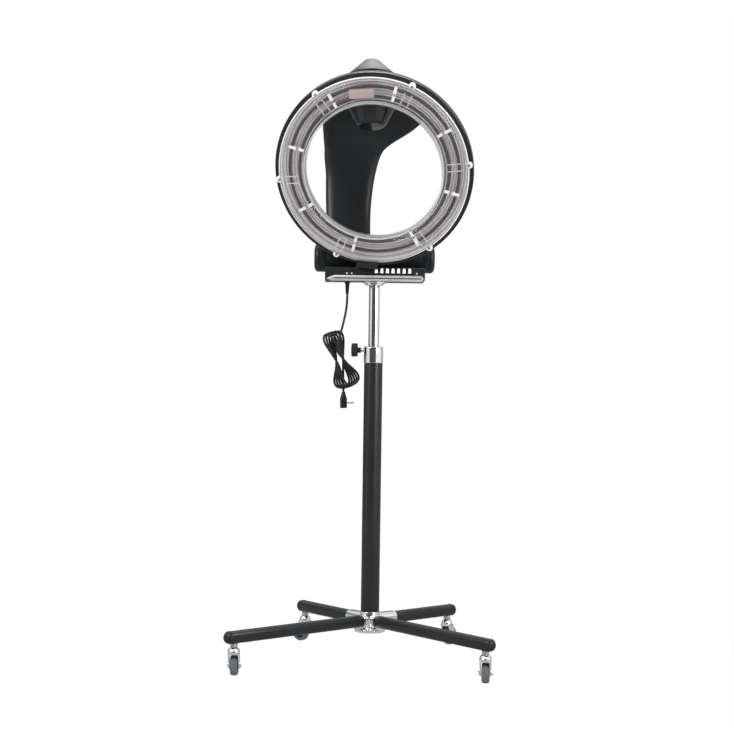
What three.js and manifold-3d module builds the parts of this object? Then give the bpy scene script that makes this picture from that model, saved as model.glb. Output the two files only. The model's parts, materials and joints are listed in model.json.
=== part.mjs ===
// Hair color processor: a heated ring that circles the head, on a rolling stand.
// Millimetres, +Z up. The front is -Y. The origin is on the floor, under the middle of the stand.
import * as THREE from 'three';
import { mergeVertices } from 'three/addons/utils/BufferGeometryUtils.js';
import Module from 'manifold-3d';

const wasm = await Module();
wasm.setup();

const rad = THREE.MathUtils.degToRad;
const GAP = 0.3; // running and seating clearance

// Base and legs
const LEG_AXIS_Z = 95;
const LEG_SECTION = 29;
const LEG_CORNER = 9;
const FRONT_LEG_REACH = 428; // column axis to caster stem
const REAR_LEG_REACH = 274;
const FRONT_LEG_START = 32;
const REAR_LEG_START = 80;
const LEG_CAP_OVERHANG = 26;
const LEG_CAP_LENGTH = 14;
const TENON_RADIUS = 9.5;
const TENON_START = 16;
const HUB_RADIUS = 25.5;
const HUB_TOP_Z = 118;
const HUB_FLANGE_RADIUS = 40;
const HUB_FLANGE_Z = 66;
const HUB_FLANGE_THICK = 8;
const SOCKET_SECTION = 33;

// Casters
const WHEEL_RADIUS = 25;
const WHEEL_WIDTH = 18;
const WHEEL_FACETS = 20;
const CASTER_TRAIL = 15;
const AXLE_RADIUS = 4;
const FORK_WALL = 2.6;
const FORK_CHEEK_RADIUS = 9;
const FORK_BRIDGE_Z = 54;
const FORK_CAP_RADIUS = 15;
const STEM_RADIUS = 5;
const STEM_GRIP = 18;
const CASTER_TURNS = { front_left: 4, front_right: -3, rear_left: 58, rear_right: -28 };

// Column, collar, mast and clamp
const COLUMN_RADIUS = 24;
const COLUMN_WALL = 2.5;
const COLUMN_TOP_Z = 762;
const SPIGOT_DEPTH = 30;
const COLLAR_RADIUS = 25;
const COLLAR_HEIGHT = 43;
const BUSH_LENGTH = 70;
const MAST_RADIUS = 14;
const MAST_WALL = 2;
const MAST_FOOT_Z = 430;
const MAST_TOP_Z = 964;
const MAST_FLANGE_RADIUS = 31;
const MAST_FLANGE_HEIGHT = 11;
const CLAMP_Z = 795;
const CLAMP_SCREW_RADIUS = 4;
const KNOB_RADIUS = 18;
const KNOB_THICK = 15;
const KNOB_REACH = 57;
const KNOB_LOBES = 7;

// Control box and tilt hinge, turned with the head
const HEAD_TURN = 6; // degrees about the mast at rest
const BOX_WIDTH = 257;
const BOX_FRONT_Y = -50;
const BOX_BACK_Y = 84;
const BOX_TOP_Z = 1007;
const BOX_CORNER = 2;
const BOX_WALL = 3;
const BASE_PLATE_THICK = 3;
const BARREL_RADIUS = 37;
const BARREL_Y = 47;
const BARREL_Z = 1037;
const CHEEK_WALL = 4;
const EAR_WIDTH = 29;
const TILT_PIN_RADIUS = 8;
const RAIL_WIDTH = 249;
const RAIL_HEIGHT = 15;
const RAIL_BAR = 5;
const RAIL_DEPTH = 4;
const RAIL_DROP = 4; // foot of the rail below the console's floor plate
const BUTTON_COUNT = 7;
const BUTTON_PITCH = 14.3;
const BUTTON_WIDTH = 8;
const BUTTON_HEIGHT = 12;
const BUTTON_STANDING = 4;
const BUTTON_TRAVEL = 2.5;
const BUTTON_FIRST_X = 3;
const BUTTON_FROM_TOP = 8.5; // console top to the middle of the buttons
const BOARD_THICK = 1.6;
const BOARD_INSET = 14;
const BOARD_SETBACK = 9;

// Arm
const ARM_SHELL_WALL = 3;
const ARM_SEAM = 0.4;
// Stations up the arm: place, width and thickness. It starts left of the mast and leans over to the hub.
const ARM_STATIONS = [
  { x: -62, y: 62, z: 1056, width: 108, thick: 40 },
  { x: -68, y: 88, z: 1104, width: 114, thick: 42 },
  { x: -70, y: 107, z: 1180, width: 120, thick: 44 },
  { x: -66, y: 112, z: 1262, width: 131, thick: 44 },
  { x: -57, y: 103, z: 1330, width: 158, thick: 44 },
  { x: -20.5, y: 80, z: 1384, width: 241, thick: 43 },
  { x: 4, y: 42, z: 1432, width: 290, thick: 40 },
  { x: -2, y: -14, z: 1468, width: 262, thick: 34 },
  { x: -16, y: -138, z: 1484, width: 90, thick: 24 },
];

// Hub and ring
const HUB_X = -17;
const HUB_Y = -152;
const HUB_Z = 1460;
const HUB_LEAN = 11; // degrees, foot of the turning axis to the front
const RING_LEAN = 35.5; // degrees between the ring and the turning axis
const RING_TURN = 10; // degrees about the turning axis at rest
const HUB_INSET = 48; // hub below the ring's top edge, along the ring
const RING_AHEAD = 113; // ring front ahead of the hub, square to the ring
const SHROUD_RADIUS = 250;
const SHROUD_BORE = 176;
const SHROUD_BACK = 62;
const SHROUD_FRONT = 24;
const SHROUD_WALL = 3;
const COVER_STEP = 14; // shroud rim outside the cover
const COVER_BORE_STEP = 4.5; // cover inside the shroud's bore
const COVER_WALL = 2.5;
const LUG_COUNT = 6;
const LUG_TURN = 2; // degrees
const LUG_RADIUS = 7;
const HOLDER_COUNT = 8;
const HEATER_SPACING = 25;
const HEATER_TUBE = 4;
const SHAFT_RADIUS = 13;
const SHAFT_FLANGE_RADIUS = 22;
const SHAFT_FLANGE_THICK = 3;
const CARRIER_RADIUS = 40;
const CARRIER_THICK = 6;
const CARRIER_TOP = -24;
const HOUSING_RADIUS = 66;
const HOUSING_FOOT = 9;
const HOUSING_FLOOR = 4;
const HOUSING_SKIRT = 3;
const HOUSING_TOP = 17;
const HOUSING_WALL = 4;
const CAP_TOP = 58;
const CAP_RADIUS = 18;
const MOTOR_RADIUS = 38;
const MOTOR_TOP = 38;
const DOME_RADIUS = 66;
const DOME_NOSE_RADIUS = 36;
const DOME_DEPTH = 84;
const DOME_WALL = 4;
const SENSOR_WIDTH = 58;
const SENSOR_DEPTH = 25;
const SENSOR_TURN = -8; // degrees from the ring's foot

// Mains lead
const CORD_RADIUS = 3;
const CORD_SIDES = 8;
const CORD_EXIT_X = -70.3;
const CORD_EXIT_Y = 57.7;
const RELIEF_LENGTH = 32;
const LEAD_TURN = 1; // degrees, the hank's plane against the head
const HANK_LOOPS = 5;
const HANK_LENGTH = 150;
const HANK_TOP_FOLD = 23;
const HANK_FOOT_FOLD = 44;
const HANK_WAIST = 9;
const HANK_PITCH = 7.4;
const HANK_LEAN = 20; // degrees, the middle loop
const HANK_FAN = -34; // degrees from the first loop to the last
const HANK_STEPS = 24;
const HANK_SIDES = 6;
const HANK_CENTRE = new THREE.Vector3(-18, 10, -205);
const PLUG_LENGTH = 28;
const PIN_RADIUS = 2.4;
const PIN_LENGTH = 19;
const PIN_SPREAD = 19;

const finish = (color, roughness, metalness) => (
  new THREE.MeshStandardMaterial({ color, roughness, metalness })
);
const chrome = finish(0xd8dadd, 0.12, 1);
const steel = finish(0x9a9da1, 0.4, 1);
const blackPaint = finish(0x17191b, 0.28, 0.1);
const blackPlastic = finish(0x1b1c1e, 0.42, 0);
const glossBlack = finish(0x101113, 0.15, 0);
const whitePlastic = finish(0xf1f1ee, 0.4, 0);
const greyRubber = finish(0x6d7682, 0.7, 0);
const clearPlastic = finish(0xe8eaec, 0.08, 0);
const mirror = finish(0xd9cfcd, 0.2, 0.9);
const quartz = finish(0x6a4a44, 0.2, 0);
const boardGreen = finish(0x2e5b3f, 0.6, 0);
const cordBlack = finish(0x141414, 0.6, 0);

// A closed, indexed geometry that faces out
function closed(geometry) {
  const bare = geometry.clone();
  bare.deleteAttribute('normal');
  bare.deleteAttribute('uv');
  const merged = mergeVertices(bare, 1e-3);
  const { array: spots } = merged.getAttribute('position');
  const { array: corners } = merged.index;
  const kept = [];
  let volume = 0;
  for (let i = 0; i < corners.length; i += 3) {
    const [a, b, c] = [corners[i], corners[i + 1], corners[i + 2]];
    if (a === b || b === c || c === a) continue;
    kept.push(a, b, c);
    const [p, q, r] = [a, b, c].map((v) => new THREE.Vector3().fromArray(spots, 3 * v));
    volume += p.dot(q.cross(r));
  }
  if (volume < 0) for (let i = 0; i < kept.length; i += 3) [kept[i], kept[i + 1]] = [kept[i + 1], kept[i]];
  merged.setIndex(kept);
  return merged;
}

function toSolid(geometry) {
  const { index, attributes } = closed(geometry);
  const mesh = new wasm.Mesh({
    numProp: 3,
    vertProperties: new Float32Array(attributes.position.array),
    triVerts: new Uint32Array(index.array),
  });
  mesh.merge();
  return new wasm.Manifold(mesh);
}

function fromSolid(manifold) {
  const { vertProperties, triVerts } = manifold.getMesh();
  const geometry = new THREE.BufferGeometry();
  geometry.setAttribute('position', new THREE.BufferAttribute(vertProperties, 3));
  geometry.setIndex(new THREE.BufferAttribute(triVerts, 1));
  return geometry;
}

const join = (...pieces) => fromSolid(pieces.map(toSolid).reduce((a, b) => a.add(b)));
const cut = (piece, ...tools) => (
  fromSolid(tools.map(toSolid).reduce((a, b) => a.subtract(b), toSolid(piece)))
);
const common = (a, b) => fromSolid(toSolid(a).intersect(toSolid(b)));

const moved = (geometry, x, y, z) => geometry.clone().translate(x, y, z);
const vec2 = (pairs) => pairs.map(([x, y]) => new THREE.Vector2(x, y));

// A turned piece about Z from [radius, height] pairs
function turned(profile, segments = 24) {
  return closed(new THREE.LatheGeometry(vec2(profile), segments).rotateX(Math.PI / 2));
}

const disc = (radius, z0, z1, segments = 24) => (
  turned([[0, z0], [radius, z0], [radius, z1], [0, z1]], segments)
);

function pipe(outer, inner, z0, z1, segments = 24) {
  return turned([[inner, z0], [outer, z0], [outer, z1], [inner, z1], [inner, z0]], segments);
}

const alongX = (geometry) => geometry.clone().rotateY(Math.PI / 2);
const alongY = (geometry) => geometry.clone().rotateX(-Math.PI / 2);

function block(x0, x1, y0, y1, z0, z1) {
  const box = new THREE.BoxGeometry(x1 - x0, y1 - y0, z1 - z0);
  return box.translate((x0 + x1) / 2, (y0 + y1) / 2, (z0 + z1) / 2);
}

function roundedRect(width, height, corner) {
  const [w, h] = [width / 2, height / 2];
  const shape = new THREE.Shape();
  shape.absarc(w - corner, h - corner, corner, 0, Math.PI / 2);
  shape.absarc(corner - w, h - corner, corner, Math.PI / 2, Math.PI);
  shape.absarc(corner - w, corner - h, corner, Math.PI, 1.5 * Math.PI);
  shape.absarc(w - corner, corner - h, corner, 1.5 * Math.PI, 2 * Math.PI);
  return shape;
}

// A plate: an outline drawn on its first two axes, raised from z0 to z1
function plate(shape, z0, z1, curveSegments = 3) {
  const settings = { depth: z1 - z0, bevelEnabled: false, curveSegments };
  return closed(new THREE.ExtrudeGeometry(shape, settings).translate(0, 0, z0));
}

// A bar with its section in Y and Z, running along X
const barX = (shape, x0, x1, curveSegments) => plate(shape, x0, x1, curveSegments)
  .applyMatrix4(new THREE.Matrix4().set(0, 0, 1, 0, 1, 0, 0, 0, 0, 1, 0, 0, 0, 0, 0, 1));

function tube(path, radius, steps, sides) {
  const ring = Array.from({ length: sides }, (_, i) => {
    const a = (2 * Math.PI * i) / sides;
    return new THREE.Vector2(radius * Math.cos(a), radius * Math.sin(a));
  });
  return closed(new THREE.ExtrudeGeometry(new THREE.Shape(ring), { steps, extrudePath: path }));
}

// A skin over stations, each one a closed loop of points, with flat ends
function loft(stations, section) {
  const count = section.length;
  const points = stations.flat().flatMap((p) => [p.x, p.y, p.z]);
  const faces = [];
  for (let s = 0; s + 1 < stations.length; s += 1) {
    for (let i = 0; i < count; i += 1) {
      const [a, b] = [s * count + i, s * count + ((i + 1) % count)];
      faces.push(a, b, b + count, a, b + count, a + count);
    }
  }
  const last = (stations.length - 1) * count;
  const clockwise = THREE.ShapeUtils.isClockWise(section);
  for (const [a, b, c] of THREE.ShapeUtils.triangulateShape(section, [])) {
    const [p, q] = clockwise ? [c, a] : [a, c];
    faces.push(q, b, p, last + p, last + b, last + q);
  }
  const geometry = new THREE.BufferGeometry();
  geometry.setAttribute('position', new THREE.Float32BufferAttribute(points, 3));
  geometry.setIndex(faces);
  return closed(geometry);
}

function put(parent, name, geometry, material) {
  const mesh = new THREE.Mesh(geometry, material);
  mesh.name = name;
  parent.add(mesh);
  return mesh;
}

const machine = new THREE.Group();
const stand = new THREE.Group();
machine.add(stand);

// Stand: hub, legs and caps
const legs = [
  { name: 'front_left', bearing: 225, reach: FRONT_LEG_REACH, start: FRONT_LEG_START },
  { name: 'front_right', bearing: 315, reach: FRONT_LEG_REACH, start: FRONT_LEG_START },
  { name: 'rear_left', bearing: 135, reach: REAR_LEG_REACH, start: REAR_LEG_START },
  { name: 'rear_right', bearing: 45, reach: REAR_LEG_REACH, start: REAR_LEG_START },
];
const legUnderZ = LEG_AXIS_Z - LEG_SECTION / 2;

function makeHub() {
  const flangeTop = HUB_FLANGE_Z + HUB_FLANGE_THICK;
  const spigotRadius = COLUMN_RADIUS - COLUMN_WALL - GAP;
  let hub = turned([
    [0, HUB_FLANGE_Z], [HUB_FLANGE_RADIUS, HUB_FLANGE_Z], [HUB_FLANGE_RADIUS, flangeTop - 2],
    [HUB_FLANGE_RADIUS - 2, flangeTop], [HUB_RADIUS, flangeTop], [HUB_RADIUS, HUB_TOP_Z],
    [spigotRadius, HUB_TOP_Z], [spigotRadius, HUB_TOP_Z + SPIGOT_DEPTH], [0, HUB_TOP_Z + SPIGOT_DEPTH],
  ]);
  const socket = roundedRect(SOCKET_SECTION, SOCKET_SECTION, LEG_CORNER);
  for (const { bearing, start } of legs) {
    const bar = barX(socket, 0, start - GAP).translate(0, 0, LEG_AXIS_Z);
    hub = join(hub, bar.rotateZ(rad(bearing)));
  }
  for (const { bearing, start } of legs) {
    const bore = alongX(disc(TENON_RADIUS + GAP, TENON_START - GAP, start + 1, 12));
    hub = cut(hub, bore.translate(0, 0, LEG_AXIS_Z).rotateZ(rad(bearing)));
  }
  return hub;
}
put(stand, 'base_hub', makeHub(), chrome);

function makeLeg(reach, start) {
  const section = roundedRect(LEG_SECTION, LEG_SECTION, LEG_CORNER);
  const body = barX(section, start, reach + LEG_CAP_OVERHANG - LEG_CAP_LENGTH);
  const tenon = alongX(disc(TENON_RADIUS, TENON_START, start + 1, 12));
  const stemTop = STEM_GRIP - LEG_SECTION / 2 + GAP;
  const bore = moved(disc(STEM_RADIUS + GAP, -LEG_SECTION, stemTop, 12), reach, 0, 0);
  return cut(join(body, tenon), bore);
}

function makeLegCap(reach) {
  const foot = reach + LEG_CAP_OVERHANG - LEG_CAP_LENGTH + GAP;
  const section = roundedRect(LEG_SECTION + 1, LEG_SECTION + 1, LEG_CORNER);
  const settings = {
    depth: LEG_CAP_LENGTH - 6, bevelEnabled: true, bevelThickness: 6, bevelSize: 6, bevelOffset: -6,
    bevelSegments: 2, curveSegments: 3,
  };
  const lump = closed(new THREE.ExtrudeGeometry(section, settings));
  const half = common(lump, block(-99, 99, -99, 99, 0, 99));
  return alongX(half.rotateZ(Math.PI / 2)).translate(foot, 0, 0);
}

for (const { name, bearing, reach, start } of legs) {
  const arm = new THREE.Group();
  arm.position.z = LEG_AXIS_Z;
  arm.rotation.z = rad(bearing);
  stand.add(arm);
  put(arm, `leg_${name}`, makeLeg(reach, start), blackPaint);
  put(arm, `leg_cap_${name}`, makeLegCap(reach), blackPlastic);
}

// Casters: stem, fork with its axle, and wheel
function makeStem() {
  return turned([
    [0, FORK_BRIDGE_Z + 2], [STEM_RADIUS, FORK_BRIDGE_Z + 2], [STEM_RADIUS, legUnderZ - 9],
    [9, legUnderZ - 9], [9, legUnderZ - GAP], [STEM_RADIUS, legUnderZ - GAP],
    [STEM_RADIUS, legUnderZ + STEM_GRIP], [0, legUnderZ + STEM_GRIP],
  ], 12);
}

// Riveted into the fork's cheeks
function makeAxle() {
  const half = WHEEL_WIDTH / 2 + 2 + FORK_WALL - 0.5;
  const nut = AXLE_RADIUS + 3;
  const profile = [
    [0, -half - 4], [nut, -half - 4], [nut, -half], [AXLE_RADIUS, -half], [AXLE_RADIUS, half], [nut, half],
    [nut, half + 4], [0, half + 4],
  ];
  return alongX(turned(profile, 8)).translate(0, CASTER_TRAIL, WHEEL_RADIUS);
}

// The wheel rolls along Y and its axle is along X
function makeFork() {
  const inner = WHEEL_WIDTH / 2 + 2;
  const cheek = new THREE.Shape();
  cheek.moveTo(-13, FORK_BRIDGE_Z + FORK_WALL);
  cheek.lineTo(CASTER_TRAIL - FORK_CHEEK_RADIUS, WHEEL_RADIUS);
  cheek.absarc(CASTER_TRAIL, WHEEL_RADIUS, FORK_CHEEK_RADIUS, Math.PI, 2 * Math.PI);
  cheek.lineTo(13, FORK_BRIDGE_Z + FORK_WALL);
  const side = barX(cheek, inner, inner + FORK_WALL);
  const outside = inner + FORK_WALL;
  const bridge = block(-outside, outside, -13, 13, FORK_BRIDGE_Z, FORK_BRIDGE_Z + FORK_WALL);
  const capTop = legUnderZ - 9 - GAP;
  const cap = turned([
    [0, FORK_BRIDGE_Z + 1], [FORK_CAP_RADIUS, FORK_BRIDGE_Z + 1], [FORK_CAP_RADIUS, capTop - 9],
    [FORK_CAP_RADIUS - 3, capTop - 3], [FORK_CAP_RADIUS - 7, capTop], [0, capTop],
  ], 16);
  const body = join(bridge, cap, side, moved(side, -2 * inner - FORK_WALL, 0, 0));
  return cut(join(body, makeAxle()), disc(STEM_RADIUS + GAP, FORK_BRIDGE_Z + 2 - GAP, 99, 12));
}

// Faceted so that one flat stands on the floor
function makeWheel() {
  const flat = WHEEL_RADIUS / Math.cos(Math.PI / WHEEL_FACETS);
  const w = WHEEL_WIDTH / 2;
  const profile = [
    [AXLE_RADIUS + GAP, -w], [AXLE_RADIUS + 6, -w], [flat - 6, 2.5 - w], [flat - 3, -w], [flat, 3 - w],
    [flat, w - 3], [flat - 3, w], [flat - 6, w - 2.5], [AXLE_RADIUS + 6, w], [AXLE_RADIUS + GAP, w],
    [AXLE_RADIUS + GAP, -w],
  ];
  const wheel = turned(profile, WHEEL_FACETS).rotateZ(Math.PI / WHEEL_FACETS);
  return alongX(wheel);
}

for (const { name, bearing, reach } of legs) {
  const caster = new THREE.Group();
  caster.position.set(reach * Math.cos(rad(bearing)), reach * Math.sin(rad(bearing)), 0);
  stand.add(caster);
  put(caster, `caster_stem_${name}`, makeStem(), steel);
  const swivel = new THREE.Group();
  swivel.rotation.z = rad(CASTER_TURNS[name]);
  caster.add(swivel);
  put(swivel, `caster_fork_${name}`, makeFork(), chrome);
  const wheel = put(swivel, `caster_wheel_${name}`, makeWheel(), greyRubber);
  wheel.position.set(0, CASTER_TRAIL, WHEEL_RADIUS);
}

// Column and collar
const columnBore = COLUMN_RADIUS - COLUMN_WALL;
const collarTop = COLUMN_TOP_Z + GAP + COLLAR_HEIGHT;
put(stand, 'column_tube', pipe(COLUMN_RADIUS, columnBore, HUB_TOP_Z + GAP, COLUMN_TOP_Z), blackPaint);
put(stand, 'guide_bush', pipe(columnBore - GAP, MAST_RADIUS + GAP, COLUMN_TOP_Z - BUSH_LENGTH, COLUMN_TOP_Z),
  blackPlastic);

const alongMinusX = (geometry) => geometry.clone().rotateY(-Math.PI / 2);
function makeCollar() {
  const mouth = MAST_RADIUS + GAP;
  const body = turned([
    [mouth, COLUMN_TOP_Z + GAP], [COLLAR_RADIUS, COLUMN_TOP_Z + GAP], [COLLAR_RADIUS, collarTop - 3],
    [COLLAR_RADIUS - 3, collarTop], [mouth, collarTop], [mouth, COLUMN_TOP_Z + GAP],
  ]);
  const hole = alongMinusX(disc(CLAMP_SCREW_RADIUS + GAP, MAST_RADIUS - 1, COLLAR_RADIUS + 9, 16));
  return cut(body, hole.translate(0, 0, CLAMP_Z));
}
put(stand, 'column_collar', makeCollar(), chrome);

// Clamp: the screw bears on the mast, the knob is on its outer end
const knobFoot = KNOB_REACH - KNOB_THICK - 9;
put(stand, 'clamp_screw', alongMinusX(
  disc(CLAMP_SCREW_RADIUS, MAST_RADIUS + GAP, KNOB_REACH - 6, 16),
).translate(0, 0, CLAMP_Z), steel);

function makeKnob() {
  const lobes = new THREE.Shape(Array.from({ length: 6 * KNOB_LOBES }, (_, i) => {
    const a = (2 * Math.PI * i) / (6 * KNOB_LOBES);
    const r = KNOB_RADIUS - 1.5 + 1.5 * Math.cos(KNOB_LOBES * a);
    return new THREE.Vector2(r * Math.cos(a), r * Math.sin(a));
  }));
  const head = plate(lobes, KNOB_REACH - KNOB_THICK, KNOB_REACH);
  const body = join(head, disc(7, knobFoot, KNOB_REACH - KNOB_THICK + 1, 20));
  const socket = disc(CLAMP_SCREW_RADIUS + GAP, 0, KNOB_REACH - 6 + GAP, 16);
  return alongMinusX(cut(body, socket)).translate(0, 0, CLAMP_Z);
}
put(stand, 'clamp_knob', makeKnob(), blackPlastic);

// Mast
put(stand, 'mast_tube', pipe(MAST_RADIUS, MAST_RADIUS - MAST_WALL, MAST_FOOT_Z, MAST_TOP_Z + 6), chrome);
const flangeTopZ = MAST_TOP_Z + MAST_FLANGE_HEIGHT;
put(stand, 'mast_flange', cut(turned([
  [0, MAST_TOP_Z], [MAST_FLANGE_RADIUS - 7, MAST_TOP_Z], [MAST_FLANGE_RADIUS - 7, MAST_TOP_Z + 5],
  [MAST_FLANGE_RADIUS, MAST_TOP_Z + 5], [MAST_FLANGE_RADIUS, flangeTopZ], [0, flangeTopZ],
]), disc(MAST_RADIUS + GAP, MAST_TOP_Z - 1, MAST_TOP_Z + 6 + GAP)), chrome);

// Head: everything above the mast flange
const head = new THREE.Group();
head.rotation.z = rad(HEAD_TURN);
machine.add(head);

const plateZ = flangeTopZ + GAP;
const boxFootZ = plateZ + BASE_PLATE_THICK + GAP;
const cheekX = BOX_WIDTH / 2;

// Side outline of the console: a low front for the buttons and round cheeks that carry the hinge
function consoleOutline(inset) {
  const shape = new THREE.Shape();
  shape.moveTo(BOX_FRONT_Y + inset, boxFootZ);
  const [cornerY, cornerZ] = [BOX_FRONT_Y + BOX_CORNER + inset, BOX_TOP_Z - BOX_CORNER - inset];
  shape.absarc(cornerY, cornerZ, BOX_CORNER, Math.PI, Math.PI / 2, true);
  shape.lineTo(BARREL_Y - BARREL_RADIUS, BOX_TOP_Z - inset);
  shape.lineTo(BOX_BACK_Y - inset, BOX_TOP_Z - inset);
  shape.lineTo(BOX_BACK_Y - inset, boxFootZ);
  return shape;
}

const buttonZ = BOX_TOP_Z - BUTTON_FROM_TOP;
const buttonX = (i) => BUTTON_FIRST_X + i * BUTTON_PITCH;
function buttonOutline(grow) {
  const [foot, top, h] = [BUTTON_WIDTH / 2 + grow, BUTTON_WIDTH / 2 - 1 + grow, BUTTON_HEIGHT / 2 + grow];
  return new THREE.Shape(vec2([[-foot, -h], [foot, -h], [top, h], [-top, h]]));
}

// A plate facing the front, drawn on X and Z
const facing = (shape, y0, y1) => plate(shape, 0, y1 - y0).rotateX(Math.PI / 2).translate(0, y1, 0);

function makeConsole() {
  const outer = barX(consoleOutline(0), -cheekX, cheekX);
  const cheek = alongX(disc(BARREL_RADIUS, cheekX - CHEEK_WALL, cheekX, 28)).translate(0, BARREL_Y, BARREL_Z);
  const inner = barX(consoleOutline(BOX_WALL), BOX_WALL - cheekX, cheekX - BOX_WALL).translate(0, 0, -1);
  const room = cheekX - CHEEK_WALL;
  const cradle = alongX(disc(BARREL_RADIUS + 1.5, -room, room, 28)).translate(0, BARREL_Y, BARREL_Z);
  const pin = alongX(disc(TILT_PIN_RADIUS + GAP, -cheekX - 1, cheekX + 1, 20))
    .translate(0, BARREL_Y, BARREL_Z);
  const trough = alongX(disc(BARREL_RADIUS + 1.5 + BOX_WALL, -room, room, 28))
    .translate(0, BARREL_Y, BARREL_Z);
  const shell = join(cut(outer, inner), common(outer, trough));
  const body = join(shell, cheek, moved(cheek, CHEEK_WALL - 2 * cheekX, 0, 0));
  const holeEnd = BOX_FRONT_Y + BOX_WALL + BUTTON_TRAVEL + 1;
  const holes = Array.from({ length: BUTTON_COUNT }, (_, i) => (
    facing(buttonOutline(GAP), BOX_FRONT_Y - 1, holeEnd).translate(buttonX(i), 0, buttonZ)
  ));
  return cut(body, cradle, pin, ...holes);
}
put(head, 'control_box', makeConsole(), blackPlastic);

const plateOutline = roundedRect(BOX_WIDTH, BOX_BACK_Y - BOX_FRONT_Y, 6);
const basePlate = plate(plateOutline, plateZ, plateZ + BASE_PLATE_THICK)
  .translate(0, (BOX_BACK_Y + BOX_FRONT_Y) / 2, 0);
const exitHole = moved(disc(CORD_RADIUS + 3 + GAP, plateZ - 1, plateZ + 9, 20), CORD_EXIT_X, CORD_EXIT_Y, 0);
put(head, 'control_base_plate', cut(basePlate, exitHole), blackPlastic);

function makeEar(side) {
  const ear = turned([
    [0, 0], [BARREL_RADIUS, 0], [BARREL_RADIUS, EAR_WIDTH - 9], [BARREL_RADIUS - 2, EAR_WIDTH - 5],
    [BARREL_RADIUS - 7, EAR_WIDTH - 1.5], [BARREL_RADIUS - 14, EAR_WIDTH], [0, EAR_WIDTH],
  ], 20);
  const body = cut(ear, disc(TILT_PIN_RADIUS + GAP, -1, EAR_WIDTH - 9, 20));
  const faced = side > 0 ? alongX(body) : alongMinusX(body);
  return faced.translate(side * (cheekX + GAP), BARREL_Y, BARREL_Z);
}
put(head, 'hinge_ear_left', makeEar(-1), blackPlastic);
put(head, 'hinge_ear_right', makeEar(1), blackPlastic);
const pinHalf = cheekX + GAP + EAR_WIDTH - 10;
const tiltPin = alongX(disc(TILT_PIN_RADIUS, -pinHalf, pinHalf, 20)).translate(0, BARREL_Y, BARREL_Z);
put(head, 'tilt_pin', tiltPin, steel);

// Chrome rail: a flat oval loop along the foot of the console
function makeRail() {
  const end = RAIL_HEIGHT / 2 - 0.1;
  const loop = roundedRect(RAIL_WIDTH, RAIL_HEIGHT, end);
  const inside = roundedRect(RAIL_WIDTH - 2 * RAIL_BAR, RAIL_HEIGHT - 2 * RAIL_BAR, end - RAIL_BAR);
  const frontY = BOX_FRONT_Y - GAP;
  const opening = facing(inside, frontY - 2 * RAIL_DEPTH, frontY + 1);
  const ring = cut(facing(loop, frontY - RAIL_DEPTH, frontY), opening);
  return ring.translate(0, 0, plateZ + RAIL_HEIGHT / 2 - RAIL_DROP);
}
put(head, 'chrome_rail', makeRail(), chrome);

const boardY = BOX_FRONT_Y + BOX_WALL + BOARD_SETBACK;
const boardHalf = cheekX - BOARD_INSET;
const boardTop = BOX_TOP_Z - BOX_WALL - CHEEK_WALL;
const board = block(-boardHalf, boardHalf, boardY, boardY + BOARD_THICK, boxFootZ, boardTop);
put(head, 'circuit_board', board, boardGreen);
for (let i = 0; i < BUTTON_COUNT; i += 1) {
  const stalk = boardY - BUTTON_TRAVEL - GAP - BOX_FRONT_Y;
  const cap = facing(buttonOutline(0), -BUTTON_STANDING, BOX_WALL);
  const button = put(head, `button_${i + 1}`, join(cap, alongY(disc(2, 0, stalk, 8))), whitePlastic);
  button.position.set(buttonX(i), BOX_FRONT_Y, buttonZ);
}

// Tilting arm: a barrel on the tilt pin and two shells that meet on a seam
const tilt = new THREE.Group();
head.add(tilt);
const barrelHalf = cheekX - CHEEK_WALL - GAP;
put(tilt, 'tilt_barrel', alongX(pipe(BARREL_RADIUS, TILT_PIN_RADIUS + GAP, -barrelHalf, barrelHalf, 28))
  .translate(0, BARREL_Y, BARREL_Z), blackPlastic);

const armSteps = 16;
const curveOf = (points) => new THREE.CatmullRomCurve3(points);
const armPath = curveOf(ARM_STATIONS.map(({ x, y, z }) => new THREE.Vector3(x, y, z)));
const armSizes = curveOf(ARM_STATIONS.map(({ width, thick }) => new THREE.Vector3(width, thick, 0)));

// Half of a soft-cornered section, outer line and inner line, on the side that sign gives
function armSection(width, thick, sign) {
  const corner = 0.55;
  const line = (w, t) => Array.from({ length: 7 }, (_, i) => {
    const a = (Math.PI * i) / 6;
    const across = -Math.sign(Math.cos(a)) * Math.abs(Math.cos(a)) ** corner * (w / 2);
    return [across, sign * (ARM_SEAM / 2 + Math.abs(Math.sin(a)) ** corner * (t / 2))];
  });
  const inner = line(width - 2 * ARM_SHELL_WALL, thick - 2 * ARM_SHELL_WALL).reverse();
  return vec2([...line(width, thick), ...inner]);
}

function makeArmShell(sign) {
  const sections = [];
  const stations = Array.from({ length: armSteps + 1 }, (_, i) => {
    const place = armPath.getPoint(i / armSteps);
    const size = armSizes.getPoint(i / armSteps);
    const along = armPath.getTangent(i / armSteps);
    const front = new THREE.Vector3(0, -along.z, along.y);
    const section = armSection(size.x, size.y, sign);
    sections.push(section);
    return section.map(({ x, y }) => (
      new THREE.Vector3(place.x + x, place.y, place.z).addScaledVector(front, y)
    ));
  });
  return loft(stations, sections[0]);
}

// Hub group: Z is the turning axis of the ring
const hub = new THREE.Group();
hub.position.set(HUB_X, HUB_Y, HUB_Z);
hub.rotation.x = -rad(HUB_LEAN);
tilt.add(hub);
hub.updateMatrix();

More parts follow.
